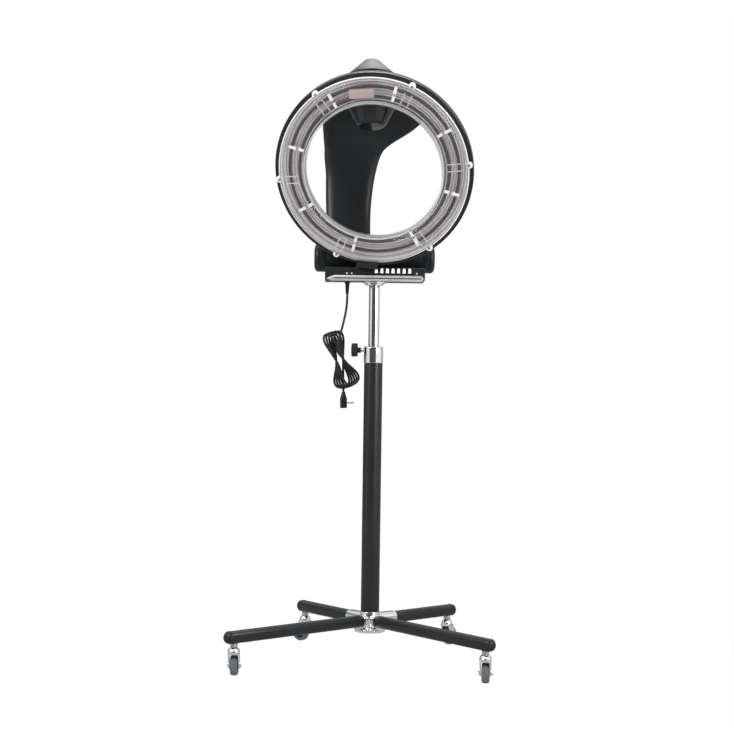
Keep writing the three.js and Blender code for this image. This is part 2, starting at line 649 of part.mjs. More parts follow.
const coneFoot = HOUSING_FOOT + HOUSING_SKIRT;
const coneSlope = (HOUSING_RADIUS - CAP_RADIUS) / (CAP_TOP - coneFoot);
const coneRadius = (w) => HOUSING_RADIUS - coneSlope * Math.max(0, w - coneFoot);
const motorRoom = MOTOR_RADIUS + 2;
const shaftBore = SHAFT_RADIUS + GAP;
put(hub, 'hub_housing', turned([
  [shaftBore, HOUSING_FOOT], [HOUSING_RADIUS, HOUSING_FOOT], [HOUSING_RADIUS, coneFoot],
  [coneRadius(HOUSING_TOP), HOUSING_TOP], [motorRoom, HOUSING_TOP], [motorRoom, HOUSING_FOOT + HOUSING_FLOOR],
  [shaftBore, HOUSING_FOOT + HOUSING_FLOOR], [shaftBore, HOUSING_FOOT],
], 28), blackPlastic);
const lid = HOUSING_TOP + GAP;
put(hub, 'hub_cap', turned([
  [coneRadius(lid) - HOUSING_WALL, lid], [coneRadius(lid), lid], [CAP_RADIUS, CAP_TOP], [0, CAP_TOP],
  [0, CAP_TOP - HOUSING_WALL], [CAP_RADIUS - HOUSING_WALL, CAP_TOP - HOUSING_WALL],
  [coneRadius(lid) - HOUSING_WALL, lid],
], 28), blackPlastic);

const motorFoot = HOUSING_FOOT + HOUSING_FLOOR + GAP;
const shaftFlangeTop = motorFoot + SHAFT_FLANGE_THICK;
const shaftRoom = SHAFT_FLANGE_RADIUS + 4;
put(hub, 'drive_motor', turned([
  [0, shaftFlangeTop + GAP], [shaftRoom, shaftFlangeTop + GAP], [shaftRoom, motorFoot],
  [MOTOR_RADIUS, motorFoot], [MOTOR_RADIUS, MOTOR_TOP - 12], [MOTOR_RADIUS - 12, MOTOR_TOP],
  [0, MOTOR_TOP],
], 28), steel);

const coneCut = turned([
  [0, HOUSING_FOOT - 12], [HOUSING_RADIUS + GAP, HOUSING_FOOT - 12], [HOUSING_RADIUS + GAP, coneFoot],
  [CAP_RADIUS + GAP, CAP_TOP + GAP], [0, CAP_TOP + GAP],
], 28).applyMatrix4(hub.matrix);
const barrelCut = alongX(disc(BARREL_RADIUS + GAP, -barrelHalf, barrelHalf, 28))
  .translate(0, BARREL_Y, BARREL_Z);
put(tilt, 'arm_front_shell', cut(makeArmShell(1), coneCut, barrelCut), blackPlastic);
put(tilt, 'arm_rear_shell', cut(makeArmShell(-1), coneCut, barrelCut), blackPlastic);

// Ring, turned about the hub axis. In ringFrame Z faces out of the ring's front and Y points at its top.
const orbit = new THREE.Group();
orbit.rotation.z = -rad(RING_TURN);
hub.add(orbit);
const ringFrame = new THREE.Group();
ringFrame.rotation.x = rad(90 + RING_LEAN);
const lean = rad(RING_LEAN);
const ringDrop = SHROUD_RADIUS - HUB_INSET; // ring centre below the hub, along the ring
ringFrame.position.set(0, ringDrop * Math.sin(lean) - RING_AHEAD * Math.cos(lean),
  -ringDrop * Math.cos(lean) - RING_AHEAD * Math.sin(lean));
orbit.add(ringFrame);
ringFrame.updateMatrix();

const carrierFoot = CARRIER_TOP - CARRIER_THICK;
put(orbit, 'ring_shaft', turned([
  [0, carrierFoot], [CARRIER_RADIUS, carrierFoot],
  [CARRIER_RADIUS, CARRIER_TOP], [SHAFT_RADIUS + 4, CARRIER_TOP + 6],
  [SHAFT_RADIUS, CARRIER_TOP + 8], [SHAFT_RADIUS, motorFoot], [SHAFT_FLANGE_RADIUS, motorFoot],
  [SHAFT_FLANGE_RADIUS, shaftFlangeTop], [0, shaftFlangeTop],
], 28), steel);

const ringSegments = 30;
const coverRadius = SHROUD_RADIUS - COVER_STEP;
const coverBore = SHROUD_BORE - COVER_BORE_STEP;
const ringLathe = (profile) => turned(profile.map(([r, e]) => [r, -e]), ringSegments);
const S = SHROUD_WALL;
put(ringFrame, 'ring_shroud', ringLathe([
  [SHROUD_RADIUS, SHROUD_FRONT], [SHROUD_RADIUS, SHROUD_BACK - 16], [SHROUD_RADIUS - 6, SHROUD_BACK - 4],
  [SHROUD_RADIUS - 16, SHROUD_BACK], [SHROUD_BORE + 12, SHROUD_BACK], [SHROUD_BORE, SHROUD_BACK - 12],
  [SHROUD_BORE, SHROUD_FRONT + 6], [SHROUD_BORE + S, SHROUD_FRONT + 6],
  [SHROUD_BORE + S, SHROUD_BACK - 12 - S],
  [SHROUD_BORE + 12, SHROUD_BACK - S], [SHROUD_RADIUS - 16, SHROUD_BACK - S],
  [SHROUD_RADIUS - 6 - S, SHROUD_BACK - 6], [SHROUD_RADIUS - S, SHROUD_BACK - 17],
  [SHROUD_RADIUS - S, SHROUD_FRONT + S], [coverRadius + 1, SHROUD_FRONT + S], [coverRadius + 1, SHROUD_FRONT],
  [SHROUD_RADIUS, SHROUD_FRONT],
]), glossBlack);

const coverBack = SHROUD_FRONT + 16; // depth of the cover's inner wall
const domeCut = ringLathe([
  [coverBore - GAP, -20], [SHROUD_RADIUS + 5, -20], [SHROUD_RADIUS + 5, SHROUD_BACK + GAP],
  [SHROUD_BORE + 12, SHROUD_BACK + GAP], [SHROUD_BORE - GAP, SHROUD_BACK - 12],
  [SHROUD_BORE - GAP, coverBack + GAP], [coverBore - GAP, coverBack + GAP], [coverBore - GAP, -20],
]).applyMatrix4(ringFrame.matrix);
const domeTop = carrierFoot - GAP;
const domeNose = domeTop - DOME_DEPTH;
const domeRoom = DOME_RADIUS - DOME_WALL;
put(orbit, 'hub_dome', cut(turned([
  [0, domeNose], [DOME_NOSE_RADIUS - 6, domeNose],
  [DOME_NOSE_RADIUS, domeNose + 4], [DOME_RADIUS - 6, domeTop - 34],
  [DOME_RADIUS, domeTop - 20], [DOME_RADIUS - 6, domeTop - 6], [CARRIER_RADIUS, domeTop],
  [CARRIER_RADIUS - 6, domeTop], [domeRoom - 6, domeTop - 9],
  [domeRoom, domeTop - 20], [domeRoom - 5, domeTop - 33],
  [DOME_NOSE_RADIUS - 3, domeNose + DOME_WALL + 3], [0, domeNose + DOME_WALL],
], 24), domeCut), glossBlack);

// Reflector pan with its lamp holders
const panBack = SHROUD_BACK - S - GAP;
const holderFront = SHROUD_BACK - 24;
const [inner, outer] = [SHROUD_BORE + S + GAP + 1, SHROUD_RADIUS - S - GAP - 2];
const holderMiddle = (inner + outer) / 2 - 11.5;
function makeReflector() {
  const pan = ringLathe([
    [inner, SHROUD_FRONT + 10], [inner + 1.5, SHROUD_FRONT + 10], [inner + 11, panBack - 1.5],
    [outer - 18, panBack - 1.5], [outer - 1.5, SHROUD_FRONT + 10], [outer, SHROUD_FRONT + 10],
    [outer - 17, panBack], [inner + 10, panBack], [inner, SHROUD_FRONT + 10],
  ]);
  const holders = Array.from({ length: HOLDER_COUNT }, (_, i) => (
    block(inner + 8, outer - 14, -6, 6, -panBack + 1, -holderFront)
      .rotateZ((2 * Math.PI * (i + 0.5)) / HOLDER_COUNT)
  ));
  return join(pan, ...holders);
}
put(ringFrame, 'ring_reflector', makeReflector(), mirror);

[-0.5, 0.5].forEach((side, i) => {
  const coil = new THREE.TorusGeometry(holderMiddle + side * HEATER_SPACING, HEATER_TUBE, 5, ringSegments);
  const tube = closed(coil.translate(0, 0, -holderFront + HEATER_TUBE + GAP));
  put(ringFrame, `heater_tube_${i + 1}`, tube, quartz);
});

// Clear cover, screwed to the shroud rim at its lugs
function makeCover() {
  const [R, B, w] = [coverRadius, coverBore, COVER_WALL];
  const shell = ringLathe([
    [R, SHROUD_FRONT], [R, 9], [R - 12, 0], [B + 14, 0], [B, 12], [B, coverBack],
    [B + w, coverBack], [B + w, 13], [B + 15, w], [R - 13, w], [R - w, 10], [R - w, SHROUD_FRONT],
    [R, SHROUD_FRONT],
  ]);
  const lug = moved(disc(LUG_RADIUS, -SHROUD_FRONT + GAP, -SHROUD_FRONT + 9, 8), R + 4, 0, 0);
  const lugs = Array.from({ length: LUG_COUNT }, (_, i) => (
    lug.clone().rotateZ((2 * Math.PI * i) / LUG_COUNT + rad(LUG_TURN))
  ));
  return join(shell, ...lugs);
}
put(ringFrame, 'ring_cover', makeCover(), clearPlastic);

// Sensor on the shroud's rim, close outside the cover
function makeSensor() {
  const foot = SHROUD_FRONT - GAP;
  const half = SENSOR_WIDTH / 2;
  const bar = block(-half, half, -SHROUD_RADIUS, -coverRadius / 2, -foot, SENSOR_DEPTH - foot);
  const cover = disc(coverRadius + 2 * GAP, -SHROUD_BACK, SHROUD_BACK, 2 * ringSegments);
  return cut(bar, cover).rotateZ(rad(SENSOR_TURN));
}
put(ringFrame, 'sensor_housing', makeSensor(), blackPlastic);

// Mains lead, hanging in a plane square to the view of the front
const lead = new THREE.Group();
lead.position.set(CORD_EXIT_X, CORD_EXIT_Y, plateZ);
lead.rotation.z = -rad(LEAD_TURN);
head.add(lead);
put(lead, 'strain_relief', turned([
  [0, -RELIEF_LENGTH], [CORD_RADIUS + 0.9, -RELIEF_LENGTH], [CORD_RADIUS + 2.4, -5], [CORD_RADIUS + 4.5, -4],
  [CORD_RADIUS + 4.5, -GAP], [CORD_RADIUS + 3, -GAP],
  [CORD_RADIUS + 3, BASE_PLATE_THICK], [0, BASE_PLATE_THICK],
], 18), cordBlack);

// One run of the hank: u turns once for each loop, from the top fold
function hankPoint(u) {
  const fold = (Math.cos(u) > 0 ? HANK_TOP_FOLD : HANK_FOOT_FOLD) - HANK_WAIST;
  const across = Math.sin(u) * (HANK_WAIST + fold * Math.cos(u) ** 2);
  const down = -(HANK_LENGTH / 2) * Math.cos(u);
  const depth = HANK_PITCH * (u / (2 * Math.PI) - HANK_LOOPS / 2);
  const lean = HANK_LEAN + HANK_FAN * (u / (2 * Math.PI * HANK_LOOPS) - 0.5);
  const point = new THREE.Vector3(across, depth, -down);
  return point.applyAxisAngle(new THREE.Vector3(0, 1, 0), -rad(lean)).add(HANK_CENTRE);
}
// The tube's two ends run straight on from the loops
const hankStart = 0.5 * Math.PI;
const hankEnd = (2 * HANK_LOOPS + 0.5) * Math.PI;
const hankLead = 0.1; // radians of straight run before the loops
const hankTail = 1.12; // and after them, down to the plug
function hankHeading(u) {
  const step = 0.01;
  return hankPoint(u + step).sub(hankPoint(u - step)).divideScalar(2 * step);
}
class HankCurve extends THREE.Curve {
  getPoint(t, target = new THREE.Vector3()) {
    const u = hankStart - hankLead + t * (hankEnd + hankTail - hankStart + hankLead);
    const held = THREE.MathUtils.clamp(u, hankStart, hankEnd);
    return target.copy(hankPoint(held)).addScaledVector(hankHeading(held), u - held);
  }
}
const hankCurve = new HankCurve();
const hankSteps = Math.round(HANK_STEPS * (HANK_LOOPS + 0.2));
put(lead, 'cord_hank', tube(hankCurve, CORD_RADIUS, hankSteps, HANK_SIDES), cordBlack);

function leastGap(curve, samples, skip) {
  const points = curve.getSpacedPoints(samples);
  let least = Infinity;
  for (let i = 0; i < points.length; i += 1) {
    for (let j = i + skip; j < points.length; j += 1) {
      least = Math.min(least, points[i].distanceTo(points[j]));
    }
  }
  return least - 2 * CORD_RADIUS;
}
const hankLength = hankCurve.getLength().toFixed(0);
const hankGap = leastGap(hankCurve, 700, 14).toFixed(2);
console.log(`hank: length ${hankLength} mm, least gap ${hankGap} mm`);

const hankTop = hankCurve.getPoint(0);
const hankTopHeading = hankHeading(hankStart).normalize();
const dropRoute = new THREE.CatmullRomCurve3([
  new THREE.Vector3(0, 0, -RELIEF_LENGTH - GAP),
  new THREE.Vector3(0, 0, -48),
  new THREE.Vector3(-2.5, -0.5, -75),
  new THREE.Vector3(-9, -3, -108),
  new THREE.Vector3(-17, -6, -142),
  hankTop.clone().addScaledVector(hankTopHeading, -14),
  hankTop.clone().addScaledVector(hankTopHeading, -GAP),
]);
put(lead, 'cord_drop', tube(dropRoute, CORD_RADIUS, 14, CORD_SIDES), cordBlack);

// Right-angled plug, hanging from the end of the hank, pins to the side
function makePlug() {
  const grip = turned([[0, -17], [8, -17], [7, -12], [CORD_RADIUS + 1.2, -GAP], [0, -GAP]], 12);
  const body = plate(roundedRect(18, 34, 6), -16 - PLUG_LENGTH, -16, 3);
  const pins = [-1, 1].map((side) => (
    alongX(disc(PIN_RADIUS, 0, 9 + PIN_LENGTH, 10))
      .translate(0, (side * PIN_SPREAD) / 2, -16 - PLUG_LENGTH / 2)
  ));
  return join(grip, body, ...pins);
}
const plug = put(lead, 'plug', makePlug(), cordBlack);
plug.position.copy(hankCurve.getPoint(1));
plug.quaternion.setFromUnitVectors(new THREE.Vector3(0, 0, -1), hankHeading(hankEnd).normalize());

// The origin goes under the middle of the stand, on the floor; the lead doesn't count
machine.updateMatrixWorld(true);
const reach = new THREE.Box3();
machine.traverse((piece) => {
  if (piece.isMesh && piece.parent !== lead) reach.expandByObject(piece, true);
});
const middle = reach.getCenter(new THREE.Vector3());
machine.position.set(-middle.x, -middle.y, -reach.min.z);

export default machine;
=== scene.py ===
import json
from math import cos, sin, pi, radians, atan2

import bpy
import bmesh
from mathutils import Matrix, Vector


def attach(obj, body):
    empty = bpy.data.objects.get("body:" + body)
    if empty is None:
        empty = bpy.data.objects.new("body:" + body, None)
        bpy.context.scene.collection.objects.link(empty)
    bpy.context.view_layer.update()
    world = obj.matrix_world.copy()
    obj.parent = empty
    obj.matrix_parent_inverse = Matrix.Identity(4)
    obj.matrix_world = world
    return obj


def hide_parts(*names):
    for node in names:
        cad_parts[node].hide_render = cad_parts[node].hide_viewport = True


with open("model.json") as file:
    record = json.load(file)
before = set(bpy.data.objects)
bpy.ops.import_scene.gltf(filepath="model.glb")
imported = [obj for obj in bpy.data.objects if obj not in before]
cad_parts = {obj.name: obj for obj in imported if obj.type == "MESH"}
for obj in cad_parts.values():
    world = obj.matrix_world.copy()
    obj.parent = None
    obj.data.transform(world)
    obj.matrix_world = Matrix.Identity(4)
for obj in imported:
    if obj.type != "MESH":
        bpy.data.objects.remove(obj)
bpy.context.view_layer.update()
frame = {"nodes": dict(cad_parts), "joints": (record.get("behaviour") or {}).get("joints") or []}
scene = bpy.context.scene
mm = 0.001
fit = 0.3  # room between neighbouring pieces, in millimetres
corners = ("front_left", "front_right", "rear_left", "rear_right")
joints = {j["name"]: j for j in frame["joints"]}


def turnAbout(axis, degrees):
    return Matrix.Rotation(radians(degrees), 4, axis)


def shift(x, y, z):
    return Matrix.Translation(Vector((x, y, z)) * mm)


# where the turned groups stand, as in the CAD
pose = {"headTurn": 6, "hubLean": 11, "ringLean": 35.5, "ringTurn": 10, "hubX": -17, "hubY": -152,
        "hubZ": 1460, "ringDrop": 202, "ringAhead": 113, "leadTurn": 1}
mastSpot = Vector(joints["head_swivel"]["pos_m"])
standPlace = Matrix.Translation((mastSpot.x, mastSpot.y, 0))
headPlace = standPlace @ turnAbout("Z", pose["headTurn"])
hubPlace = headPlace @ shift(pose["hubX"], pose["hubY"], pose["hubZ"]) @ turnAbout("X", -pose["hubLean"])
orbitPlace = hubPlace @ turnAbout("Z", -pose["ringTurn"])
ringLean = radians(pose["ringLean"])
ringPlace = orbitPlace @ shift(
    0, pose["ringDrop"] * sin(ringLean) - pose["ringAhead"] * cos(ringLean),
    -pose["ringDrop"] * cos(ringLean) - pose["ringAhead"] * sin(ringLean),
) @ turnAbout("X", 90 + pose["ringLean"])
print("places worked out from the frame")

# camera at the photograph's angle, level, with a slight roll
view = {"azimuth": 4.8, "distance": 3.87, "eye": 0.744, "roll": 0.8, "focalPx": 1490, "frameWidth": 734,
        "rightPx": 6.3, "downPx": 4.0, "sensor": 36, "farClip": 50}


def makeCamera():
    data = bpy.data.cameras.new("photoCamera")
    data.sensor_width = view["sensor"]
    data.sensor_fit = "HORIZONTAL"
    data.lens = view["focalPx"] / view["frameWidth"] * view["sensor"]
    data.shift_x = -view["rightPx"] / view["frameWidth"]
    data.shift_y = view["downPx"] / view["frameWidth"]
    data.clip_end = view["farClip"]
    camera = bpy.data.objects.new("photoCamera", data)
    scene.collection.objects.link(camera)
    a = radians(view["azimuth"])
    away = view["distance"]
    spot = Vector((mastSpot.x + away * sin(a), mastSpot.y - away * cos(a), view["eye"]))
    camera.matrix_world = (Matrix.Translation(spot) @ turnAbout("Z", view["azimuth"]) @ turnAbout("X", 90)
                           @ turnAbout("Z", view["roll"]))
    scene.camera = camera


makeCamera()


# one socket of a shader tree, with Python's operators
class Wire:
    def __init__(self, tree, socket):
        self.tree = tree
        self.socket = socket

    def maths(self, operation, first, second):
        node = self.tree.nodes.new("ShaderNodeMath")
        node.operation = operation
        for slot, value in zip(node.inputs, (first, second)):
            feed(self.tree, slot, value)
        return Wire(self.tree, node.outputs[0])

    def __add__(self, other):
        return self.maths("ADD", self, other)

    __radd__ = __add__

    def __mul__(self, other):
        return self.maths("MULTIPLY", self, other)

    __rmul__ = __mul__

    def __sub__(self, other):
        return self.maths("SUBTRACT", self, other)

    def __rsub__(self, other):
        return self.maths("SUBTRACT", other, self)


def feed(tree, slot, value):
    if isinstance(value, Wire):
        tree.links.new(value.socket, slot)
    else:
        slot.default_value = value


class Shader:
    def __init__(self, tree):
        self.tree = tree

    def node(self, kind, settings=None, inputs=None, output=0):
        node = self.tree.nodes.new(kind)
        for key, value in (settings or {}).items():
            if key == "stops":
                ramp = node.color_ramp
                while len(ramp.elements) < len(value):
                    ramp.elements.new(0.5)
                for element, (at, color) in zip(ramp.elements, value):
                    element.position = at
                    element.color = color
            else:
                setattr(node, key, value)
        for key, value in (inputs or {}).items():
            feed(self.tree, node.inputs[key], value)
        return Wire(self.tree, node.outputs[output])

    def mix(self, mask, dark, light):
        ends = [value if isinstance(value, Wire) else (*value, 1) for value in (dark, light)]
        return self.node("ShaderNodeMix", {"data_type": "RGBA"}, {0: mask, 6: ends[0], 7: ends[1]}, output=2)


class Finish(Shader):
    def __init__(self, name, color, roughness, metallic=0.0):
        self.material = bpy.data.materials.new(name)
        self.material.use_nodes = True
        super().__init__(self.material.node_tree)
        self.shader = self.tree.nodes["Principled BSDF"]
        self.set("Base Color", (*color, 1))
        self.set("Roughness", roughness)
        self.set("Metallic", metallic)

    def set(self, socket, value):
        feed(self.tree, self.shader.inputs[socket], value)

    def spot(self, place=None):
        here = self.node("ShaderNodeTexCoord", output="Object")
        if place is None:
            return here
        back = place.inverted()
        return self.node("ShaderNodeMapping", {}, {
            "Vector": here, "Location": back.translation, "Rotation": back.to_euler()})

    def noise(self, scale, detail=3.0):
        return self.node("ShaderNodeTexNoise", {}, {"Vector": self.spot(), "Scale": scale, "Detail": detail})

    def bump(self, height, strength, distance):
        return self.node("ShaderNodeBump", {}, {"Strength": strength, "Distance": distance, "Height": height})


def chromeFinish():
    f = Finish("chrome", (0.86, 0.87, 0.88), 0.06, 1.0)
    f.set("Roughness", 0.035 + f.noise(35.0) * 0.05)
    f.set("Base Color", f.mix(f.noise(3.0), (0.83, 0.84, 0.85), (0.89, 0.89, 0.90)))
    return f.material


def steelFinish():
    f = Finish("zincSteel", (0.55, 0.56, 0.57), 0.35, 1.0)
    f.set("Roughness", 0.28 + f.noise(120.0) * 0.2)
    return f.material


def brightFinish():
    f = Finish("brightRail", (0.93, 0.93, 0.94), 0.42, 1.0)
    f.set("Roughness", 0.38 + f.noise(60.0) * 0.1)
    return f.material


def paintFinish():
    f = Finish("blackPowderCoat", (0.010, 0.011, 0.012), 0.3)
    f.set("Specular IOR Level", 0.32)
    f.set("Base Color", f.mix(f.noise(10.0), (0.008, 0.009, 0.010), (0.014, 0.016, 0.018)))
    f.set("Roughness", 0.26 + f.noise(40.0) * 0.1)
    f.set("Normal", f.bump(f.noise(700.0, 2.0), 0.06, 0.0002))
    return f.material


def plasticFinish(name, color, roughness, grain, shine=0.5):
    f = Finish(name, color, roughness)
    f.set("Specular IOR Level", shine)
    light = tuple(c * 1.35 + 0.001 for c in color)
    f.set("Base Color", f.mix(f.noise(14.0), color, light))
    f.set("Roughness", roughness - 0.04 + f.noise(50.0) * 0.08)
    f.set("Normal", f.bump(f.noise(1500.0, 2.0), grain, 0.0002))
    return f.material


def rubberFinish():
    f = Finish("greyRubber", (0.12, 0.15, 0.20), 0.7)
    scuffs = f.noise(180.0, 4.0)
    f.set("Base Color", f.mix(scuffs, (0.050, 0.057, 0.072), (0.105, 0.117, 0.142)))
    f.set("Roughness", 0.6 + scuffs * 0.25)
    f.set("Normal", f.bump(f.noise(900.0), 0.25, 0.0004))
    return f.material


# clear moulding: mostly see-through, glossy where it turns away
def clearFinish(name, shade, least, most):
    f = Finish(name, (shade, shade, shade), 0.05)
    f.set("Roughness", 0.03 + f.noise(30.0) * 0.04)
    f.set("Specular IOR Level", 1.0)
    rim = f.node("ShaderNodeLayerWeight", {}, {"Blend": 0.22}, output="Fresnel")
    through = f.node("ShaderNodeBsdfTransparent", {}, {"Color": (0.98, 0.98, 0.985, 1)})
    body = Wire(f.tree, f.shader.outputs[0])
    mixed = f.node("ShaderNodeMixShader", {}, {0: least + rim * most, 1: through, 2: body})
    f.tree.links.new(mixed.socket, f.tree.nodes["Material Output"].inputs["Surface"])
    return f.material


# floor of the reflector: round flutes about the ring's own axis, with a painted shade colour for their
# valleys and a painted highlight colour for their crests
flutes = {"count": 5, "start": 191.3, "pitch": 7.08, "rise": 3.2, "steps": 6,
          "valleyShade": (0.36, 0.29, 0.29), "crestHighlight": (1.0, 0.97, 0.965)}


# painted highlight on the flutes' crests and painted rose-grey shade in their valleys
def reflectorFinish():
    f = Finish("spunReflector", (0.9, 0.88, 0.88), 0.2, 0.1)
    flat = f.node("ShaderNodeVectorMath", {"operation": "MULTIPLY"}, {0: f.spot(ringPlace), 1: (1, 1, 0)})
    radius = f.node("ShaderNodeVectorMath", {"operation": "LENGTH"}, {0: flat}, output="Value")
    turns = (radius - flutes["start"] * mm) * (pi / (flutes["pitch"] * mm))
    swing = f.node("ShaderNodeMath", {"operation": "SINE"}, {0: turns})
    crestHighlight = f.node("ShaderNodeMath", {"operation": "ABSOLUTE"}, {0: swing})
    crestHighlightMask = crestHighlight * 0.8 + f.noise(9.0, 2.0) * 0.5
    # base colour: painted highlight on the crests and painted shade in the valleys, with random tone from
    # noise
    f.set("Base Color", f.mix(crestHighlightMask, flutes["valleyShade"], flutes["crestHighlight"]))
    f.set("Roughness", 0.28 + f.noise(70.0) * 0.08)
    return f.material


finishes = {
    "chrome": chromeFinish(),
    "steel": steelFinish(),
    "bright_rail": brightFinish(),
    "black_paint": paintFinish(),
    "black_plastic": plasticFinish("satinBlack", (0.008, 0.009, 0.010), 0.36, 0.10, 0.3),
    "gloss_black": plasticFinish("glossBlack", (0.006, 0.007, 0.008), 0.14, 0.02, 0.4),
    "white_plastic": plasticFinish("whiteMoulding", (0.74, 0.74, 0.72), 0.35, 0.04),
    "grey_rubber": rubberFinish(),
    "clear_plastic": clearFinish("clearMoulding", 0.55, 0.03, 0.7),
    # near-white, mostly opaque finish: a painted highlight on the clear cover's rim and bore beads, lugs and
    # ribs
    "clear_painted_highlight": clearFinish("clearPaintedHighlight", 0.92, 0.8, 0.2),
    "reflector": reflectorFinish(),
    "quartz": plasticFinish("heatingTube", (0.020, 0.012, 0.012), 0.35, 0.02, 0.2),
    "board": plasticFinish("boardGreen", (0.03, 0.10, 0.05), 0.5, 0.1),
    "cord_black": plasticFinish("leadRubber", (0.008, 0.008, 0.009), 0.42, 0.10, 0.35),
    "ceramic": plasticFinish("ceramic", (0.68, 0.67, 0.66), 0.45, 0.08),
    "rose": plasticFinish("roseTerminal", (0.34, 0.25, 0.23), 0.45, 0.05),
    # hub cap: the same black plastic with a lighter base colour, a painted sheen of the top light
    "cap_painted_sheen": plasticFinish("capPaintedSheen", (0.05, 0.052, 0.055), 0.55, 0.0, 0.5),
    "lens": plasticFinish("lampLens", (0.30, 0.30, 0.29), 0.18, 0.0, 0.6),
}
print("finishes made:", len(finishes))


# a finished piece: its mesh holds its place, it rides on a body and may stand for CAD nodes
def addPiece(name, mesh, body, slot, finish=None, replaced=(), smooth=38):
    for polygon in mesh.polygons:
        polygon.use_smooth = True
    piece = bpy.data.objects.new(name, mesh)
    scene.collection.objects.link(piece)
    mesh.materials.clear()
    mesh.materials.append(finishes[finish or slot])
    mesh.set_sharp_from_angle(angle=radians(smooth))
    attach(piece, body)
    if replaced:
        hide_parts(*replaced)
    return piece


def meshOf(name, bm, place):
    bmesh.ops.remove_doubles(bm, verts=bm.verts, dist=1e-7)
    bmesh.ops.recalc_face_normals(bm, faces=bm.faces)
    mesh = bpy.data.meshes.new(name)
    bm.to_mesh(mesh)
    bm.free()
    mesh.transform(place)
    return mesh


def joinMeshes(name, meshes):
    bm = bmesh.new()
    for mesh in meshes:
        bm.from_mesh(mesh)
        bpy.data.meshes.remove(mesh)
    joined = bpy.data.meshes.new(name)
    bm.to_mesh(joined)
    bm.free()
    return joined


# rounds the corners of an outline of (a, b) points in millimetres
def softened(points, radius, shut=False, steps=4):
    soft = []
    count = len(points)
    for i, here in enumerate(points):
        if not shut and i in (0, count - 1):
            soft.append(here)
            continue
        p = Vector(here)
        before = Vector(points[i - 1]) - p
        after = Vector(points[(i + 1) % count]) - p
        cutBack = min(radius, before.length * 0.45, after.length * 0.45)
        start = p + before.normalized() * cutBack
        end = p + after.normalized() * cutBack
        for k in range(steps + 1):
            t = k / steps
            soft.append(tuple(start.lerp(p, t).lerp(p.lerp(end, t), t)))
    return soft


# a turned shape about Z; the outline is shut, or starts and ends on the axis
def turned(name, outline, place, shut=False, segments=72):
    bm = bmesh.new()
    rows = []
    for k in range(segments):
        a = 2 * pi * k / segments
        rows.append([bm.verts.new((r * mm * cos(a), r * mm * sin(a), z * mm)) for r, z in outline])
    spans = range(len(outline) if shut else len(outline) - 1)
    for k in range(segments):
        one, two = rows[k], rows[(k + 1) % segments]
        for i in spans:
            j = (i + 1) % len(outline)
            quad = [one[i], two[i], two[j], one[j]]
            if (quad[0].co - quad[1].co).length < 1e-9:  # on the axis
                quad = [one[i], two[j], one[j]]
            elif (quad[2].co - quad[3].co).length < 1e-9:
                quad = [one[i], two[i], one[j]]
            bm.faces.new(quad)
    return meshOf(name, bm, place)


# a skin over closed loops of points (millimetres), with flat ends
def lofted(name, loops, place):
    bm = bmesh.new()
    rows = [[bm.verts.new(Vector(p) * mm) for p in loop] for loop in loops]
    count = len(rows[0])
    for one, two in zip(rows, rows[1:]):
        for i in range(count):
            j = (i + 1) % count
            bm.faces.new((one[i], one[j], two[j], two[i]))
    bm.faces.new(rows[0])
    bm.faces.new(rows[-1])
    return meshOf(name, bm, place)


def roundedRect(width, height, corner, steps=6):
    w, h = width / 2, height / 2
    points = []
    for cx, cy, start in ((w - corner, h - corner, 0), (corner - w, h - corner, 90),
                          (corner - w, corner - h, 180), (w - corner, corner - h, 270)):
        for k in range(steps + 1):
            a = radians(start + 90 * k / steps)
            points.append((cx + corner * cos(a), cy + corner * sin(a)))
    return points


# Geometry Nodes: copies of one small shape round a circle
def roundTree():
    tree = bpy.data.node_groups.new("copiesRound", "GeometryNodeTree")
    face = tree.interface
    for label, kind in (("Geometry", "Geometry"), ("Unit", "Object"), ("Count", "Int"), ("Radius", "Float"),
                        ("Start", "Float"), ("Finish", "Material")):
        face.new_socket(name=label, in_out="INPUT", socket_type="NodeSocket" + kind)
    face.new_socket(name="Geometry", in_out="OUTPUT", socket_type="NodeSocketGeometry")
    add, link = tree.nodes.new, tree.links.new
    given, out = add("NodeGroupInput"), add("NodeGroupOutput")
    line = add("GeometryNodeMeshLine")
    link(given.outputs["Count"], line.inputs["Count"])
    index = add("GeometryNodeInputIndex")
    step = add("ShaderNodeMath")
    step.operation = "DIVIDE"
    step.inputs[0].default_value = 2 * pi
    link(given.outputs["Count"], step.inputs[1])
    angle = add("ShaderNodeMath")
    angle.operation = "MULTIPLY_ADD"
    link(index.outputs[0], angle.inputs[0])
    link(step.outputs[0], angle.inputs[1])
    link(given.outputs["Start"], angle.inputs[2])
    turn = add("ShaderNodeCombineXYZ")
    link(angle.outputs[0], turn.inputs["Z"])
    arm = add("ShaderNodeCombineXYZ")
    link(given.outputs["Radius"], arm.inputs["X"])
    spin = add("ShaderNodeVectorRotate")
    spin.rotation_type = "Z_AXIS"
    link(arm.outputs[0], spin.inputs["Vector"])
    link(angle.outputs[0], spin.inputs["Angle"])
    put = add("GeometryNodeSetPosition")
    link(line.outputs["Mesh"], put.inputs["Geometry"])
    link(spin.outputs[0], put.inputs["Position"])
    unit = add("GeometryNodeObjectInfo")
    link(given.outputs["Unit"], unit.inputs["Object"])
    copies = add("GeometryNodeInstanceOnPoints")
    link(put.outputs["Geometry"], copies.inputs["Points"])
    link(unit.outputs["Geometry"], copies.inputs["Instance"])
    link(turn.outputs[0], copies.inputs["Rotation"])
    real = add("GeometryNodeRealizeInstances")
    link(copies.outputs["Instances"], real.inputs["Geometry"])
    paint = add("GeometryNodeSetMaterial")
    link(real.outputs["Geometry"], paint.inputs["Geometry"])
    link(given.outputs["Finish"], paint.inputs["Material"])
    link(paint.outputs["Geometry"], out.inputs["Geometry"])
    return tree


copiesRound = roundTree()


